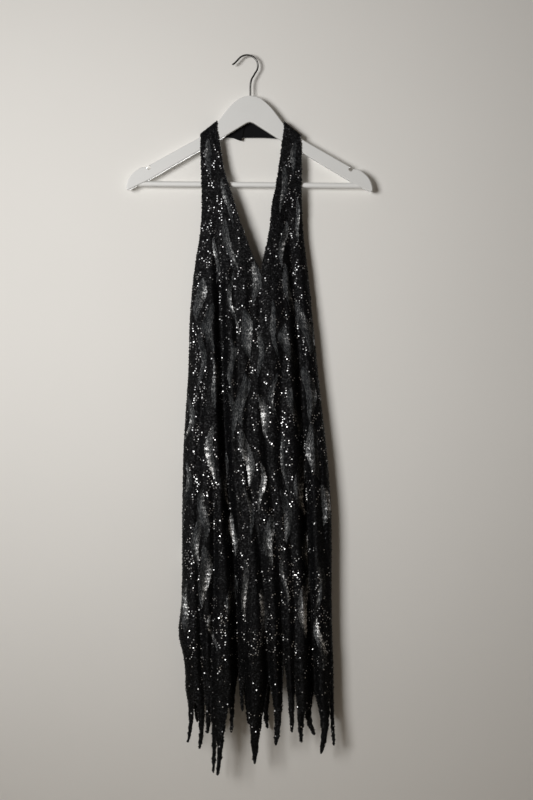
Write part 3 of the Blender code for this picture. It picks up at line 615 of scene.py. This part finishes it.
def laid_out(columns, rows, first, last, seed):
    """Leaves over the skirt: a staggered grid, in which each leaf moves and changes a little at random."""
    rng = np.random.default_rng(seed)
    pitch = (last - first) / rows
    leaves = []
    for column in range(columns):
        for row in range(rows):
            share = (column + 0.5 + 0.34 * rng.uniform(-1, 1)) / columns
            top = first + pitch * (row + 0.5 * (column % 2) + 0.16 * rng.uniform(-1, 1))
            length = pitch * rng.uniform(0.66, 1.02)
            half_width = rng.choice(LEAF_WIDTHS) * rng.uniform(0.9, 1.15)
            wave = rng.uniform(2.8, 6.2)
            phase = rng.uniform(0.0, 2 * pi)
            painted_shine = rng.choice(LEAF_PAINTED_SHINES, p=PAINTED_SHINE_SHARES) * (0.40 + 1.30 * ease(*PAINTED_SHINE_DROPS, top))
            if top + length < last + 0.4 * pitch:
                lean = rng.uniform(-4, 13)
                leaves.append(("skirt", share, top, length, half_width, wave, phase, lean, painted_shine))
    return leaves


def leaf_middle(leaf, t, drop):
    """x of a leaf's middle line: its share of the width, leant and waved by a sine."""
    where, share, first, length, half_width, wave, phase, lean, painted_shine = leaf
    bend = lean * (t - 0.5) + wave * np.sin(2 * pi * t * 0.9 + phase)
    return between(*EDGES[where], share, drop) + bend


def leaf_half(leaf, t):
    """Half width of a leaf along its length: sin(pi t^0.8)^0.75, so it is broadest above its middle."""
    return leaf[4] * np.sin(pi * np.clip(t, 0, 1) ** 0.8) ** 0.75


def off_leaves(leaves):
    """A test that says which places lie beside all the leaves."""

    def keep(places):
        x = places[:, 0] / MM
        drop = -places[:, 2] / MM
        free = np.ones(len(places), bool)
        for leaf in leaves:
            t = (drop - leaf[2]) / leaf[3]
            inside = (t > 0) & (t < 1)
            inside &= np.abs(x - leaf_middle(leaf, t, drop)) < leaf_half(leaf, t) - 0.2
            free &= ~inside
        return free

    return keep


def tube_places(leaf, seed):
    """x, drop, slope and tone of a leaf's tubes, in lines side by side, each staggered by half a tube.

    The tone is a dim body, and a painted highlight along one side: a bell across the leaf times a wave along
    it.
    Each row across the leaf has its own brightness, and each tube too.
    """
    rng = np.random.default_rng(seed)
    where, share, first, length, half_width, wave, phase, lean, painted_shine = leaf
    lines = np.arange(-int(half_width / TUBE_PITCH) - 1, int(half_width / TUBE_PITCH) + 2)
    steps = np.arange(int(length / TUBE_LENGTH) + 1)
    line, step = (grid.ravel() for grid in np.meshgrid(lines, steps, indexing="ij"))
    t = (step + 0.5 * (line % 2) + 0.2 * rng.random(step.size)) * TUBE_LENGTH / length
    offset = line * TUBE_PITCH
    row = 0.30 + 1.4 * rng.random(steps.size) ** 1.6
    side = rng.choice((-0.55, 0.55))
    middle = rng.uniform(0.25, 0.75)
    inside = (t > 0.01) & (t < 0.995) & (np.abs(offset) < leaf_half(leaf, t))
    step, t, offset = step[inside], t[inside], offset[inside]
    drop = first + t * length
    q = offset / np.maximum(leaf_half(leaf, t), 0.5)
    painted_highlight = np.exp(-((q - side) / 0.6) ** 2) * np.exp(-((t - middle) / 0.28) ** 2)
    # Painted highlight: the tone is raised in a streak along one side of the leaf, a lighter base colour
    # where the tubes would shine.
    tone = (0.12 + 0.08 * painted_shine + 0.95 * painted_shine * painted_highlight * row[step]) * (0.35 + 1.25 * rng.random(t.size))
    ahead = 0.01 * length
    slope = (leaf_middle(leaf, t + 0.01, drop + ahead) - leaf_middle(leaf, t, drop)) / ahead
    squeeze = q * (leaf_half(leaf, t + 0.01) - leaf_half(leaf, t)) / ahead
    low, high = EDGES[where]
    x = leaf_middle(leaf, t, drop) + offset
    on = (x > low(drop) + TUBE_EDGE) & (x < high(drop) - TUBE_EDGE)
    return x[on], drop[on], (slope + 0.8 * squeeze)[on], np.clip(tone, 0.02, 1.0)[on]


def on_cloth(x, drop, depth, outward):
    """Place on the cloth, its outward normal and its slopes, from the depth a small step away."""
    y = depth(x, drop)
    step = 0.5
    slope_x = (depth(x + step, drop) - y) / step
    slope_drop = (depth(x, drop + step) - y) / step
    normal = unit(np.stack((slope_x, -np.ones_like(x), -slope_drop), axis=1)) * -outward
    return metres(np.stack((x, y, drop), axis=1)), normal, np.stack((slope_x, slope_drop), axis=1)


def tube_mesh(leaves, depth, outward, seed):
    """Half tubes on the cloth: an arc of four points across, carried along the tube."""
    parts = [tube_places(leaf, seed + i) for i, leaf in enumerate(leaves)]
    x, drop, slope, tone = (np.concatenate(part) for part in zip(*parts))
    place, normal, slopes = on_cloth(x, drop, depth, outward)
    along = unit(np.stack((slope, slopes[:, 0] * slope + slopes[:, 1], -np.ones_like(x)), axis=1))
    side = unit(np.cross(along, normal))
    angle = np.radians(TUBE_ARC)[None, :, None]
    arc = np.sin(angle) * side[:, None] + (np.cos(angle) - TUBE_SUNK) * normal[:, None]
    base = place + normal * TUBE_LIFT * MM
    halves = np.array((-0.5, 0.5))[None, :, None, None]
    ends = along[:, None, None] * halves * (TUBE_LENGTH - TUBE_GAP) * MM
    points = base[:, None, None] + ends + TUBE_RADIUS * MM * arc[:, None]
    first = (np.arange(len(x)) * 8)[:, None, None]
    strip = np.arange(3)[None, :, None]
    quad = np.array((0, 1, 5, 4))[None, None, :]
    faces = (first + strip + quad).reshape(-1, 4)
    if outward > 0:
        faces = faces[:, ::-1]
    return polygon_mesh(points.reshape(-1, 3), faces, np.repeat(tone, 8), True)


def tube_finish(name):
    """Hematite-plated glass: dark grey metal to silver by the square of the tone, a little hazy. The tone
    carries the painted highlight.
    """
    finish = Finish(name, Metallic=1.0)
    tone = finish.attribute("tone")
    haze = finish.noise(finish.place(), 420.0)
    return finish.feed(
        Base_Color=finish.blend(tone * tone, (0.008, 0.009, 0.010), (0.92, 0.92, 0.91)),
        Roughness=0.36 + 0.2 * haze,
    )


black_sequins = sequin_finish("black sequins", (0.002, 0.002, 0.0023),
                              (0.006, 0.006, 0.0065), (0.47, 0.25), 0.075)
matt_sequins = sequin_finish("matt black sequins", (0.002, 0.002, 0.002),
                             (0.004, 0.004, 0.004), (0.47, 0.28), 0.06)
front_leaves = [*STRAP_LEAVES, *laid_out(columns=8, rows=6, first=378.0, last=1030.0, seed=59)]
beside_front_leaves = off_leaves(front_leaves)
for name, grids, seed, finish in (
        ("strap_sequins", [left_strap, right_strap], 11, black_sequins),
        ("front_upper_sequins", [front_skirt[:MIDDLE_ROW + 1]], 23, black_sequins),
        ("front_lower_sequins", [front_skirt[MIDDLE_ROW:HEM_ROW + 1]], 37, black_sequins),
        ("front_tail_sequins", [front_skirt[HEM_ROW:], *front_tails], 41, matt_sequins)):
    sew_sequins(name, grids, seed, finish, beside_front_leaves)
add_piece("front_leaf_beads", tube_mesh(front_leaves, front_y, outward=-1, seed=53),
                            tube_finish("hematite tubes"))

# Bright sequins on the front
# Silvered flat sequins, sewn singly over the black ones, in loose drifts beside the leaves and along the
# folds. The higher ones carry a painted shade: they are made darker, where the lamp lights them more.

SPARKLE_RADIUS = 1.25
SPARKLE_LIFT = 1.9
SPARKLE_EDGE = 2.5           # clear of the cloth's edges
BESIDE_PITCH = 16            # of a leaf's length for each one that lies beside it
CHAIN = 3                    # the most in a chain
CHAIN_PITCH = 4.4
SPARKLE_CELL = 4.3           # no two in one square of this size
PAINTED_SHADE_ABOVE = (300, 720)      # drops between which the painted shade fades, from dark above to bright below
# Drifts: share of the width, drop, spread of the share, spread of the drop, number
FRONT_DRIFTS = (
    (0.10, 210, 0.07, 40, 20), (0.12, 285, 0.06, 34, 28), (0.90, 230, 0.06, 50, 26),
    (0.88, 330, 0.07, 30, 20), (0.10, 352, 0.08, 26, 20), (0.30, 392, 0.07, 22, 14),
    (0.06, 505, 0.05, 26, 60), (0.48, 440, 0.06, 24, 24), (0.90, 440, 0.05, 30, 40),
    (0.30, 560, 0.05, 22, 26), (0.70, 628, 0.06, 24, 36), (0.05, 600, 0.05, 30, 46),
    (0.97, 640, 0.03, 40, 36), (0.40, 735, 0.05, 28, 34), (0.13, 700, 0.06, 34, 40),
    (0.62, 820, 0.05, 30, 60), (0.20, 780, 0.05, 24, 30), (0.86, 750, 0.05, 26, 30),
    (0.38, 885, 0.04, 24, 40), (0.74, 905, 0.05, 30, 70), (0.08, 860, 0.05, 34, 44),
    (0.60, 985, 0.05, 24, 50), (0.93, 960, 0.03, 38, 66), (0.30, 985, 0.04, 22, 40),
    (0.12, 1000, 0.06, 34, 40), (0.48, 1010, 0.05, 22, 24),
)


def sparkle_places(drifts, scattered, leaves, first, last, seed):
    """x and drop of single sequins: short curved chains in drifts, an even scatter, and some by each leaf."""
    rng = np.random.default_rng(seed)
    share = [rng.random(scattered)]
    drop = [first + (last - first) * rng.random(scattered)]
    for middle, height, wide, tall, number in drifts:
        share.append(middle + wide * rng.normal(size=number // 2))
        drop.append(height + tall * rng.normal(size=number // 2))
    share = np.concatenate(share)
    drop = np.concatenate(drop)
    x = between(left_edge, right_edge, share, drop)
    heading, curl = rng.uniform(-0.9, 0.9, (2, x.size, 1))
    k = np.arange(CHAIN)
    bearing = heading + 0.35 * curl * k
    x = x[:, None] + np.cumsum(CHAIN_PITCH * np.sin(bearing), axis=1)
    drop = drop[:, None] + np.cumsum(CHAIN_PITCH * np.cos(bearing), axis=1)
    linked = k < 1 + (CHAIN * rng.random((len(x), 1)) ** 3)
    x, drop = x[linked], drop[linked]
    for index, leaf in enumerate(leaves):
        t = np.sort(rng.random(int(leaf[3] / BESIDE_PITCH)))
        side = 1.0 if index % 2 else -1.0
        beside = leaf[2] + t * leaf[3]
        away = leaf_half(leaf, t) + 1.0 + 1.0 * rng.normal(size=t.size)
        x = np.append(x, leaf_middle(leaf, t, beside) + side * away)
        drop = np.append(drop, beside)
    inside = (x > left_edge(drop) + SPARKLE_EDGE) & (x < right_edge(drop) - SPARKLE_EDGE)
    inside &= (drop > first) & (drop < last)
    clear = inside & off_leaves(leaves)(metres(np.stack((x, 0 * x, drop), axis=1)))
    x, drop = x[clear], drop[clear]
    cell = np.floor(x / SPARKLE_CELL) * 1000 + np.floor(drop / SPARKLE_CELL)
    alone = np.unique(cell, return_index=True)[1]
    return x[alone], drop[alone]


def in_front_of_straps(x, drop):
    """True where a strap or the panel below the V has cloth, clear of its edges."""
    beside = (x < left_neckline(drop) - SPARKLE_EDGE) | (x > right_neckline(drop) + SPARKLE_EDGE)
    return beside | (drop > V_POINT[1] + 3)


def bright_discs(places, normals, downs, seed):
    """The bright sequins: flat hexagons that stand a little off the black ones, each tilted its own way."""
    rng = np.random.default_rng(seed)
    lean = tilted(normals, downs, rng, lean=0.05, spread=0.20)
    radius = SPARKLE_RADIUS * (0.75 + 0.3 * rng.random(len(places)))
    # Painted shade: the random tone is scaled down on the higher sequins, which the lamp lights more
    # strongly.
    tone = rng.random(len(places)) * (0.2 + 0.8 * ease(*PAINTED_SHADE_ABOVE, -places[:, 2] / MM))
    return disc_mesh(places + normals * SPARKLE_LIFT * MM, lean, downs, radius, tone)


def sparkles(x, drop, depth, outward, tails, area_each, seed):
    """Place, normal and downward direction of the bright sequins: at x and drop, and a few on the tails."""
    place, normal, slopes = on_cloth(x, drop, depth, outward)
    down = unit(np.stack((np.zeros_like(x), slopes[:, 1], -np.ones_like(x)), axis=1))
    on_tails = [sewn_places(metres(tail), area_each, seed + i) for i, tail in enumerate(tails)]
    return [np.concatenate(parts) for parts in zip((place, normal, down), *on_tails)]


def bright_finish(name):
    """Silvered plastic: metal whose grey goes by tone, which carries the painted shade of the higher sequins.
    """
    finish = Finish(name, Metallic=1.0)
    tone = finish.attribute("tone")
    return finish.feed(
        Base_Color=finish.blend(tone, (0.28, 0.28, 0.285), (0.70, 0.695, 0.685)),
        Roughness=0.50 - 0.12 * tone,
    )


x, drop = sparkle_places(FRONT_DRIFTS, scattered=640, leaves=front_leaves, first=150.0, last=1075.0, seed=61)
seen = in_front_of_straps(x, drop)
bright_sequins = bright_finish("silver sequins")
found = sparkles(x[seen], drop[seen], front_y, outward=-1, tails=[front_skirt[HEM_ROW:], *front_tails],
                 area_each=300.0, seed=67)
add_piece("front_bright_sequins", bright_discs(*found, seed=68), bright_sequins)

# Beads along the front's edges
# Round black seed beads, sewn edge to edge along the neckline, the straps, the side seams and every tail.

SEED_BEAD = 1.45             # radius
SEED_PITCH = 2.3
SEED_STRAY = 0.42


def ball():
    """Points and faces of a ball of twenty triangles."""
    shape = bmesh.new()
    bmesh.ops.create_icosphere(shape, subdivisions=1, radius=1.0)
    points = np.array([vert.co for vert in shape.verts])
    faces = np.array([[vert.index for vert in face.verts] for face in shape.faces])
    shape.free()
    return points, faces


def along_line(line):
    """Distance along a line of points to each of them."""
    return np.concatenate(([0.0], np.cumsum(np.linalg.norm(np.diff(line, axis=0), axis=1))))


def strung(line, pitch):
    """Places a pitch apart along a line of points."""
    along = along_line(line)
    at = np.arange(0.5 * pitch, along[-1], pitch)
    return np.stack([np.interp(at, along, line[:, k]) for k in range(3)], axis=1)


def tail_edges(tails):
    """Lines along both edges of each tail, and two across its tip."""
    beside = [tail[:, side] for tail in tails for side in (0, -1)]
    return beside + [tail[row] for tail in tails for row in (-5, -3)]


def seed_bead_mesh(lines, seed):
    """A ball at each place along the lines, each a little larger or smaller and off the line."""
    rng = np.random.default_rng(seed)
    places = np.concatenate([strung(metres(line), SEED_PITCH * MM) for line in lines])
    places = places + rng.normal(0.0, SEED_STRAY * MM, places.shape)
    points, faces = ball()
    radius = SEED_BEAD * MM * (0.8 + 0.4 * rng.random((len(places), 1, 1)))
    corners = places[:, None] + radius * points
    index = (np.arange(len(places)) * len(points))[:, None, None] + faces
    tone = np.repeat(rng.random(len(places)) ** 3, len(points))
    return polygon_mesh(corners.reshape(-1, 3), index.reshape(-1, 3), tone, True)


seed_finish = sequin_finish("seed beads", (0.002, 0.002, 0.002),
                            (0.008, 0.008, 0.009), (0.38, 0.16), 0.25)
front_edges = [grid[:, side] for grid in (left_strap, right_strap, front_skirt) for side in (0, -1)]
front_edges += tail_edges(front_tails)
add_piece("front_edge_beads", seed_bead_mesh(front_edges, seed=71), seed_finish)

# The back
# One panel of the same beaded net, from underarm to hem, low at the centre back and with shorter tails. It
# carries the same sequins, leaves and beads.

BACK_CLEAR = 4.0
BACK_ROWS = 90
BACK_MIDDLE_ROW = 45
BACK_HEM_ROW = 79
SCOOP_DEPTH = 125
SCOOP_POWER = 0.8
BACK_FOLD_DROPS = (340, 471, 690, 908, 1092)
BACK_FOLDS = (
    ("side left", (-70, -72, -80, -82, -75), (3, 6, 11, 13, 12), 8),
    ("left", (-42, -40, -44, -38, -42), (2, 8, 12, 11, 12), 9),
    ("left of centre", (-14, -16, -8, -14, -14), (0, 5, 13, 14, 12), 9),
    ("centre", (8, 10, 18, 14, 20), (0, 6, 10, 12, 12), 8),
    ("right of centre", (40, 44, 52, 58, 64), (0, 8, 12, 14, 12), 9),
    ("right", (66, 74, 88, 86, 84), (3, 7, 11, 9, 10), 8),
    ("side right", (92, 98, 116, 120, 116), (2, 5, 11, 13, 11), 7.5),
)
BACK_CREASES = (
    (430, 640, -60, -66, 2, -1.4, 3.4), (475, 700, 4, -4, -3, -1.8, 3.2), (470, 720, 26, 34, 3, -1.6, 3.4),
    (430, 620, 84, 96, 2, -1.4, 3.2), (640, 960, -62, -58, 3, -1.6, 3.4),
    (660, 1000, 66, 72, -3, -1.8, 3.2), (760, 1060, 2, 4, 4, -1.6, 3.4),
    (800, 1060, 102, 100, 2, -1.4, 3.4),
)
BACK_TAILS = (
    (4, (-75, 1084), (-87.5, 1166), 4.5, 2, 0, 1, 3),
    (6, (-14, 1070), (-47, 1176), 9, 1.3, 0, -2, -2),
    (4, (22, 1112), (4, 1172), 8, 1.2, 0, 2, 3),
    (4, (64, 1040), (35.7, 1179), 5, 1.6, -3, 4, -2),
    (3, (84, 1084), (76, 1142), 6, 1.2, 0, -1, 2),
    (4, (116, 1096), (97, 1162), 6, 1.4, 0, -2, -2),
    (4, (150.5, 1110), (142.3, 1158), 4.5, 1.3, 0, 1, 3),
)
BACK_DRIFTS = (
    (0.10, 400, 0.05, 24, 30), (0.90, 404, 0.05, 24, 30), (0.30, 500, 0.06, 26, 30),
    (0.72, 540, 0.06, 28, 34), (0.45, 600, 0.06, 26, 30), (0.16, 660, 0.06, 30, 34),
    (0.85, 720, 0.05, 30, 34), (0.38, 770, 0.06, 26, 34), (0.62, 830, 0.05, 28, 34),
    (0.20, 880, 0.06, 28, 34), (0.82, 900, 0.05, 28, 36), (0.50, 970, 0.06, 26, 40),
    (0.28, 1010, 0.05, 20, 24), (0.92, 1000, 0.04, 24, 24),
)


def back_y(x, drop):
    """Depth of the back, behind the plane of the seams: the arch less its folds, with creases and ripples."""
    stand = back_stand(drop)
    curve = arch(x, drop)
    folds = fold_depth(x, drop, BACK_FOLDS, BACK_FOLD_DROPS, np.maximum(stand - BACK_CLEAR, 0.5))
    small = (crease_depth(x, drop, BACK_CREASES) + 0.8 * ripples(x, drop, 2.9)) * curve
    return SEAM - seam_plane(drop) + (stand - folds) * curve + small


def scoop(share):
    """How far the back's upper edge dips: a power of a sine across it."""
    return SCOOP_DEPTH * np.sin(pi * share) ** SCOOP_POWER


back_root = root_line(BACK_TAILS)
back_even = np.linspace(0.0, 1.0, len(back_root))
back_panel = panel(back_even, back_root, UNDERARM_DROP + scoop(back_even), back_y, BACK_ROWS)
back_tails = tails_of(BACK_TAILS, back_panel[-1])
back_x = back_root[:, 0]
back_mesh = cloth_mesh([back_panel, *back_tails], [back_x, *over_tails(BACK_TAILS, back_x)], False)
back_cloth = add_piece("back_cloth", back_mesh, beaded_net("back net"), ["back"])
give_wall(back_cloth, CLOTH)
back_leaves = laid_out(columns=7, rows=6, first=452.0, last=1024.0, seed=131)
beside_back_leaves = off_leaves(back_leaves)
mirrored = back_panel[:, ::-1]
mirrored_hem = [mirrored[BACK_HEM_ROW:], *(tail[:, ::-1] for tail in back_tails)]
for name, grids, seed, finish in (
        ("back_upper_sequins", [mirrored[:BACK_MIDDLE_ROW + 1]], 83, black_sequins),
        ("back_lower_sequins", [mirrored[BACK_MIDDLE_ROW:BACK_HEM_ROW + 1]], 89, black_sequins),
        ("back_tail_sequins", mirrored_hem, 97, matt_sequins)):
    sew_sequins(name, grids, seed, finish, beside_back_leaves)
add_piece("back_leaf_beads", tube_mesh(back_leaves, back_y, outward=1, seed=101),
                           tube_finish("hematite tubes behind"))
x, drop = sparkle_places(BACK_DRIFTS, scattered=420, leaves=back_leaves, first=360.0, last=1060.0, seed=103)
under_scoop = drop > UNDERARM_DROP + 6 + scoop(np.clip(width_share(x, drop), 0, 1))
found = sparkles(x[under_scoop], drop[under_scoop], back_y, outward=1, tails=mirrored_hem, area_each=260.0,
                 seed=107)
add_piece("back_bright_sequins", bright_discs(*found, seed=108), bright_sequins)
back_edges = [back_panel[0], back_panel[:, 0], back_panel[:, -1], *tail_edges(back_tails)]
add_piece("back_edge_beads", seed_bead_mesh(back_edges, seed=109), seed_finish)

# The neckband
# Two halves of plain black grosgrain, each sewn to the end of a strap behind the hanger's arm. They swing
# level towards the centre back, where the right half lies over the left one and buttons to it.

BAND_HEIGHT = 27.5
BAND_LOW_DROP = 141.9
BAND_OVERLAP_X = (-26.0, -4.0)
BAND_SLANT = 5.5
BAND_SAG = 5.6
BAND_BEHIND = 0.2
BAND_WALL = 1.6
BAND_APART = 0.3             # between the halves where they overlap
BAND_SEAM = 0.012            # share of a half's length that the seam takes


def neckband(side, columns, rows):
    """A half of the band: its lines leave the strap downwards and ease level on their way to the overlap."""
    share = np.linspace(0.0, 1.0, columns + 1)
    s = np.linspace(BAND_SEAM, 1.0, rows + 1)[:, None]
    x, drop = strap_crest(side, share)
    y, down = wrap_point(pi)
    low_x, high_x = BAND_OVERLAP_X
    end_x = high_x - BAND_SLANT * (1 - share) if side == "left" else np.full_like(x, low_x)
    end_y = y + BAND_BEHIND + (0.0 if side == "left" else BAND_WALL + BAND_APART)
    level = BAND_LOW_DROP - BAND_HEIGHT * share
    height = drop + down + (level - drop - down) * ease(0.0, 0.6, s)
    height = height + (BAND_SAG if side == "left" else 0.0) * ease(0.72, 1.0, s)
    depth = y + (end_y - y) * ease(0.2, 0.7, s)
    return np.stack(np.broadcast_arrays(x + (end_x - x) * s, depth, height), axis=2)


def grosgrain(name):
    """Ribbed black ribbon: fine ribs across the band, and a dull sheen."""
    finish = Finish(name, Specular_IOR_Level=0.12)
    where = finish.place()
    waves = {"Vector": where, "Scale": 420.0, "Distortion": 0.6}
    ribs = finish.node("ShaderNodeTexWave", {"bands_direction": "X"}, waves)
    fuzz = finish.noise(where, 900.0, 3.0)
    return finish.feed(
        Base_Color=finish.blend(fuzz, (0.0025, 0.0025, 0.003), (0.007, 0.007, 0.008)),
        Roughness=0.66 + 0.2 * fuzz,
        Normal=finish.bump(ribs + 0.5 * fuzz, 0.0003),
    )


band_finish = grosgrain("grosgrain")
for side in ("left", "right"):
    grid = neckband(side, columns=16, rows=48)
    if side == "right":
        grid = grid[:, ::-1]
    band = add_piece(f"neckband_{side}_cloth", cloth_mesh([grid], [grid[..., 0]], True), band_finish,
                     [f"neckband_{side}"])
    give_wall(band, BAND_WALL * MM)

# Buttons of the neckband
# Two small flat black buttons of polished plastic on the outside of the overlap. They keep their solids, and
# only their finish is given here.


def gloss_black(name):
    """Polished black plastic with a few fine scratches."""
    finish = Finish(name, Base_Color=(0.010, 0.010, 0.011, 1.0))
    scratches = finish.noise(finish.place((1.0, 1.0, 6.0)), 300.0, 3.0)
    return finish.feed(Roughness=0.14 + 0.3 * finish.limits(scratches, 0.5, 0.8))


def refinish(node, material):
    """Gives a part that keeps its own shape its finish."""
    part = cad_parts[node]
    part.data.materials.clear()
    part.data.materials.append(material)


for node in ("neck_button_upper", "neck_button_lower"):
    refinish(node, gloss_black(node.replace("_", " ")))

# The hanger
# A flat board of wood sawn to shape, with a round notch in each arm and a round bar between their ends,
# sprayed off-white. The hook is bent steel wire, screwed into the crown.

HOOK_WIRE = 1.6
HOOK_BEND = 19.0
HOOK_INNER = 17.5
HOOK_ARC = (143.0, -42.0)
HOOK_LIP = ((-26.1, 15.6), (-22.4, 13.4), (-19.4, 10.6))
HOOK_NECK = ((11.9, 34.4), (8.2, 40.6), (6.5, 47), (5.9, 54), (5.9, 62), (5.9, 80))
WIRE_SIDES = 18
WIRE_ROWS = 150
WIRE_CAP = 1.5               # of the wire's first end, where its rings are closer
PAINT_SHADES = np.array(((0.97, 0.967, 0.94), (1.03, 1.027, 1.0)))


def sprayed_paint(name, level):
    """Off-white satin paint on wood, with faint grain and a mottle about a level of grey."""
    finish = Finish(name, Coat_Weight=0.15, Coat_Roughness=0.35)
    grain = finish.noise(finish.place((0.08, 1.0, 1.0)), 260.0, 4.0)
    mottle = finish.noise(finish.place(), 26.0, 3.0)
    return finish.feed(
        Base_Color=finish.blend(mottle, *(level * PAINT_SHADES)),
        Roughness=0.42 + 0.16 * grain,
        Normal=finish.bump(grain, 0.00025),
    )


def drawn_wire(name):
    """Plated steel wire with fine drawing marks."""
    finish = Finish(name, Metallic=1.0)
    marks = finish.noise(finish.place((1.0, 1.0, 0.2)), 900.0, 3.0)
    return finish.feed(
        Base_Color=finish.blend(marks, (0.07, 0.068, 0.064), (0.13, 0.127, 0.12)),
        Roughness=0.22 + 0.2 * marks,
    )


def swept(path, radius, sides):
    """A round wire along a path in the hanger's plane, which shrinks at its ends as a ball's edge does."""
    tangent = unit(np.gradient(path, axis=0))
    across = np.array((0.0, 1.0, 0.0))
    side = np.cross(tangent, across)
    angle = np.linspace(0, 2 * pi, sides, endpoint=False)
    along = along_line(path)
    end = np.minimum(along, along[-1] - along) / radius
    size = radius * np.sqrt(np.clip(1 - (1 - np.clip(end, 0.02, 1)) ** 2, 0, 1))
    ring = np.cos(angle)[None, :, None] * side[:, None] + np.sin(angle)[None, :, None] * across
    points = path[:, None] + size[:, None, None] * ring
    index = np.arange(len(path) * sides).reshape(len(path), sides)
    beside = np.roll(index, -1, axis=1)
    quads = np.stack((index[:-1], index[1:], beside[1:], beside[:-1]), axis=-1).reshape(-1, 4)
    mesh = bpy.data.meshes.new("wire")
    caps = [index[0].tolist(), index[-1][::-1].tolist()]
    mesh.from_pydata(points.reshape(-1, 3), [], quads.tolist() + caps)
    mesh.shade_smooth()
    return mesh


bend = np.radians(np.linspace(*HOOK_ARC, 60))
bend_line = np.stack((HOOK_BEND * np.cos(bend), HOOK_INNER - HOOK_BEND * np.sin(bend)), axis=1)
wire_line = np.concatenate((HOOK_LIP, bend_line[::6], bend_line[-1:], HOOK_NECK))
spacing = along_line(wire_line)
apart = np.concatenate(([True], np.diff(spacing) > 0.5))
spacing = spacing[apart]
wire_line = wire_line[apart]
at = np.concatenate((np.linspace(0, WIRE_CAP, 8)[:-1],
                     np.linspace(WIRE_CAP, spacing[-1] - WIRE_CAP, WIRE_ROWS), [spacing[-1]]))
wire_x = line_through(spacing, wire_line[:, 0])(at)
wire_drop = line_through(spacing, wire_line[:, 1])(at)
wire_path = np.stack((wire_x, np.zeros_like(wire_x), -wire_drop), axis=1) * MM
add_piece("hook_wire", swept(wire_path, HOOK_WIRE * MM, WIRE_SIDES), drawn_wire("plated wire"),
          ["hanger_hook"])
# The bar has the same off-white paint as the board, but its level is higher: painted light, which lifts the
# bar's shade.
for node, level in (("hanger_body", 0.562), ("hanger_bar", 0.63)):
    refinish(node, sprayed_paint(node.replace("_", " "), level))

# The room
# A pale plastered wall close behind the dress, a pale floor, and two large soft lamps: one before the dress
# on the left, and one behind it, which the wall lets through, so that the back can be seen.

WALL_TOP = 0.0126            # y of the wall behind the hook, and how it leans away downwards
WALL_LEAN = 0.0147
WALL_HEIGHT = 2.2
WALL_SIDE = 4.0
FLOOR_Z = -1.46
FLOOR_SIDE = 6.0
EYE = (0.0341, -3.0, -0.6022)
LENS = 77.14
# Lamps: name, place, what it points at, width, height, power, spread in degrees
LAMPS = (
    ("softbox", (-1.40, -2.31, -0.22), (-0.150, 0.0275, -0.355), 1.05, 1.0, 12.3, 68.0),
    ("softbox behind", (0.30, 2.60, -0.35), (0.03, 0.0, -0.62), 0.9, 1.2, 5.8, 50.0),
)
SKY = (1.0, 0.84, 0.68, 1.0)
SKY_STRENGTH = 0.10


def plaster(name, light, dark, one_sided):
    """Matt emulsion on plaster: a faint mottle. A one-sided wall isn't seen from behind."""
    finish = Finish(name, Roughness=0.9, Specular_IOR_Level=0.2)
    mottle = finish.noise(finish.place(), 3.0, 4.0)
    material = finish.feed(Base_Color=finish.blend(mottle, dark, light))
    if one_sided:
        behind = finish.node("ShaderNodeNewGeometry", {}, {}, "Backfacing")
        clear = finish.node("ShaderNodeBsdfTransparent", {}, {})
        paint = Number(finish, finish.shader.outputs[0])
        either = finish.node("ShaderNodeMixShader", {}, {0: behind, 1: paint, 2: clear})
        finish.tree.links.new(either.socket, finish.tree.nodes["Material Output"].inputs[0])
    return material


def stage_sheet(name, corners, material):
    """A flat four-cornered surface of the room."""
    mesh = bpy.data.meshes.new(name)
    mesh.from_pydata(corners, [], [(0, 1, 2, 3)])
    surface = bpy.data.objects.new(name, mesh)
    bpy.context.scene.collection.objects.link(surface)
    mesh.materials.append(material)
    return surface


def aimed(name, data, place, target):
    """A camera or lamp at a place, looking at a target."""
    thing = bpy.data.objects.new(name, data)
    bpy.context.scene.collection.objects.link(thing)
    thing.location = place
    thing.rotation_euler = (Vector(target) - Vector(place)).to_track_quat("-Z", "Y").to_euler()
    return thing


low_y = WALL_TOP - WALL_LEAN * FLOOR_Z
high_y = WALL_TOP - WALL_LEAN * WALL_HEIGHT
wall_corners = [(side * WALL_SIDE, low_y, FLOOR_Z) for side in (-1, 1)]
wall_corners += [(side * WALL_SIDE, high_y, WALL_HEIGHT) for side in (1, -1)]
floor_corners = [(side * FLOOR_SIDE, -FLOOR_SIDE, FLOOR_Z) for side in (-1, 1)]
floor_corners += [(side * FLOOR_SIDE, FLOOR_SIDE, FLOOR_Z) for side in (1, -1)]
wall_paint = plaster("wall paint", (0.66, 0.645, 0.615), (0.63, 0.615, 0.585), True)
floor_paint = plaster("floor paint", (0.56, 0.50, 0.42), (0.53, 0.47, 0.39), False)
stage_sheet("wall", wall_corners, wall_paint).visible_shadow = False
stage_sheet("floor", floor_corners, floor_paint)

for name, place, target, width, height, power, spread in LAMPS:
    lamp = bpy.data.lights.new(name, "AREA")
    lamp.shape = "RECTANGLE"
    lamp.size = width
    lamp.size_y = height
    lamp.energy = power
    lamp.spread = radians(spread)
    aimed(name, lamp, place, target)

world = bpy.data.worlds.new("room light")
world.use_nodes = True
sky = world.node_tree.nodes["Background"]
sky.inputs["Color"].default_value = SKY
sky.inputs["Strength"].default_value = SKY_STRENGTH
bpy.context.scene.world = world
bpy.context.scene.view_settings.view_transform = "Standard"

view = bpy.data.cameras.new("camera")
view.lens = LENS
view.sensor_width = 36.0
bpy.context.scene.camera = aimed("camera", view, EYE, (EYE[0], 0.0, EYE[2]))
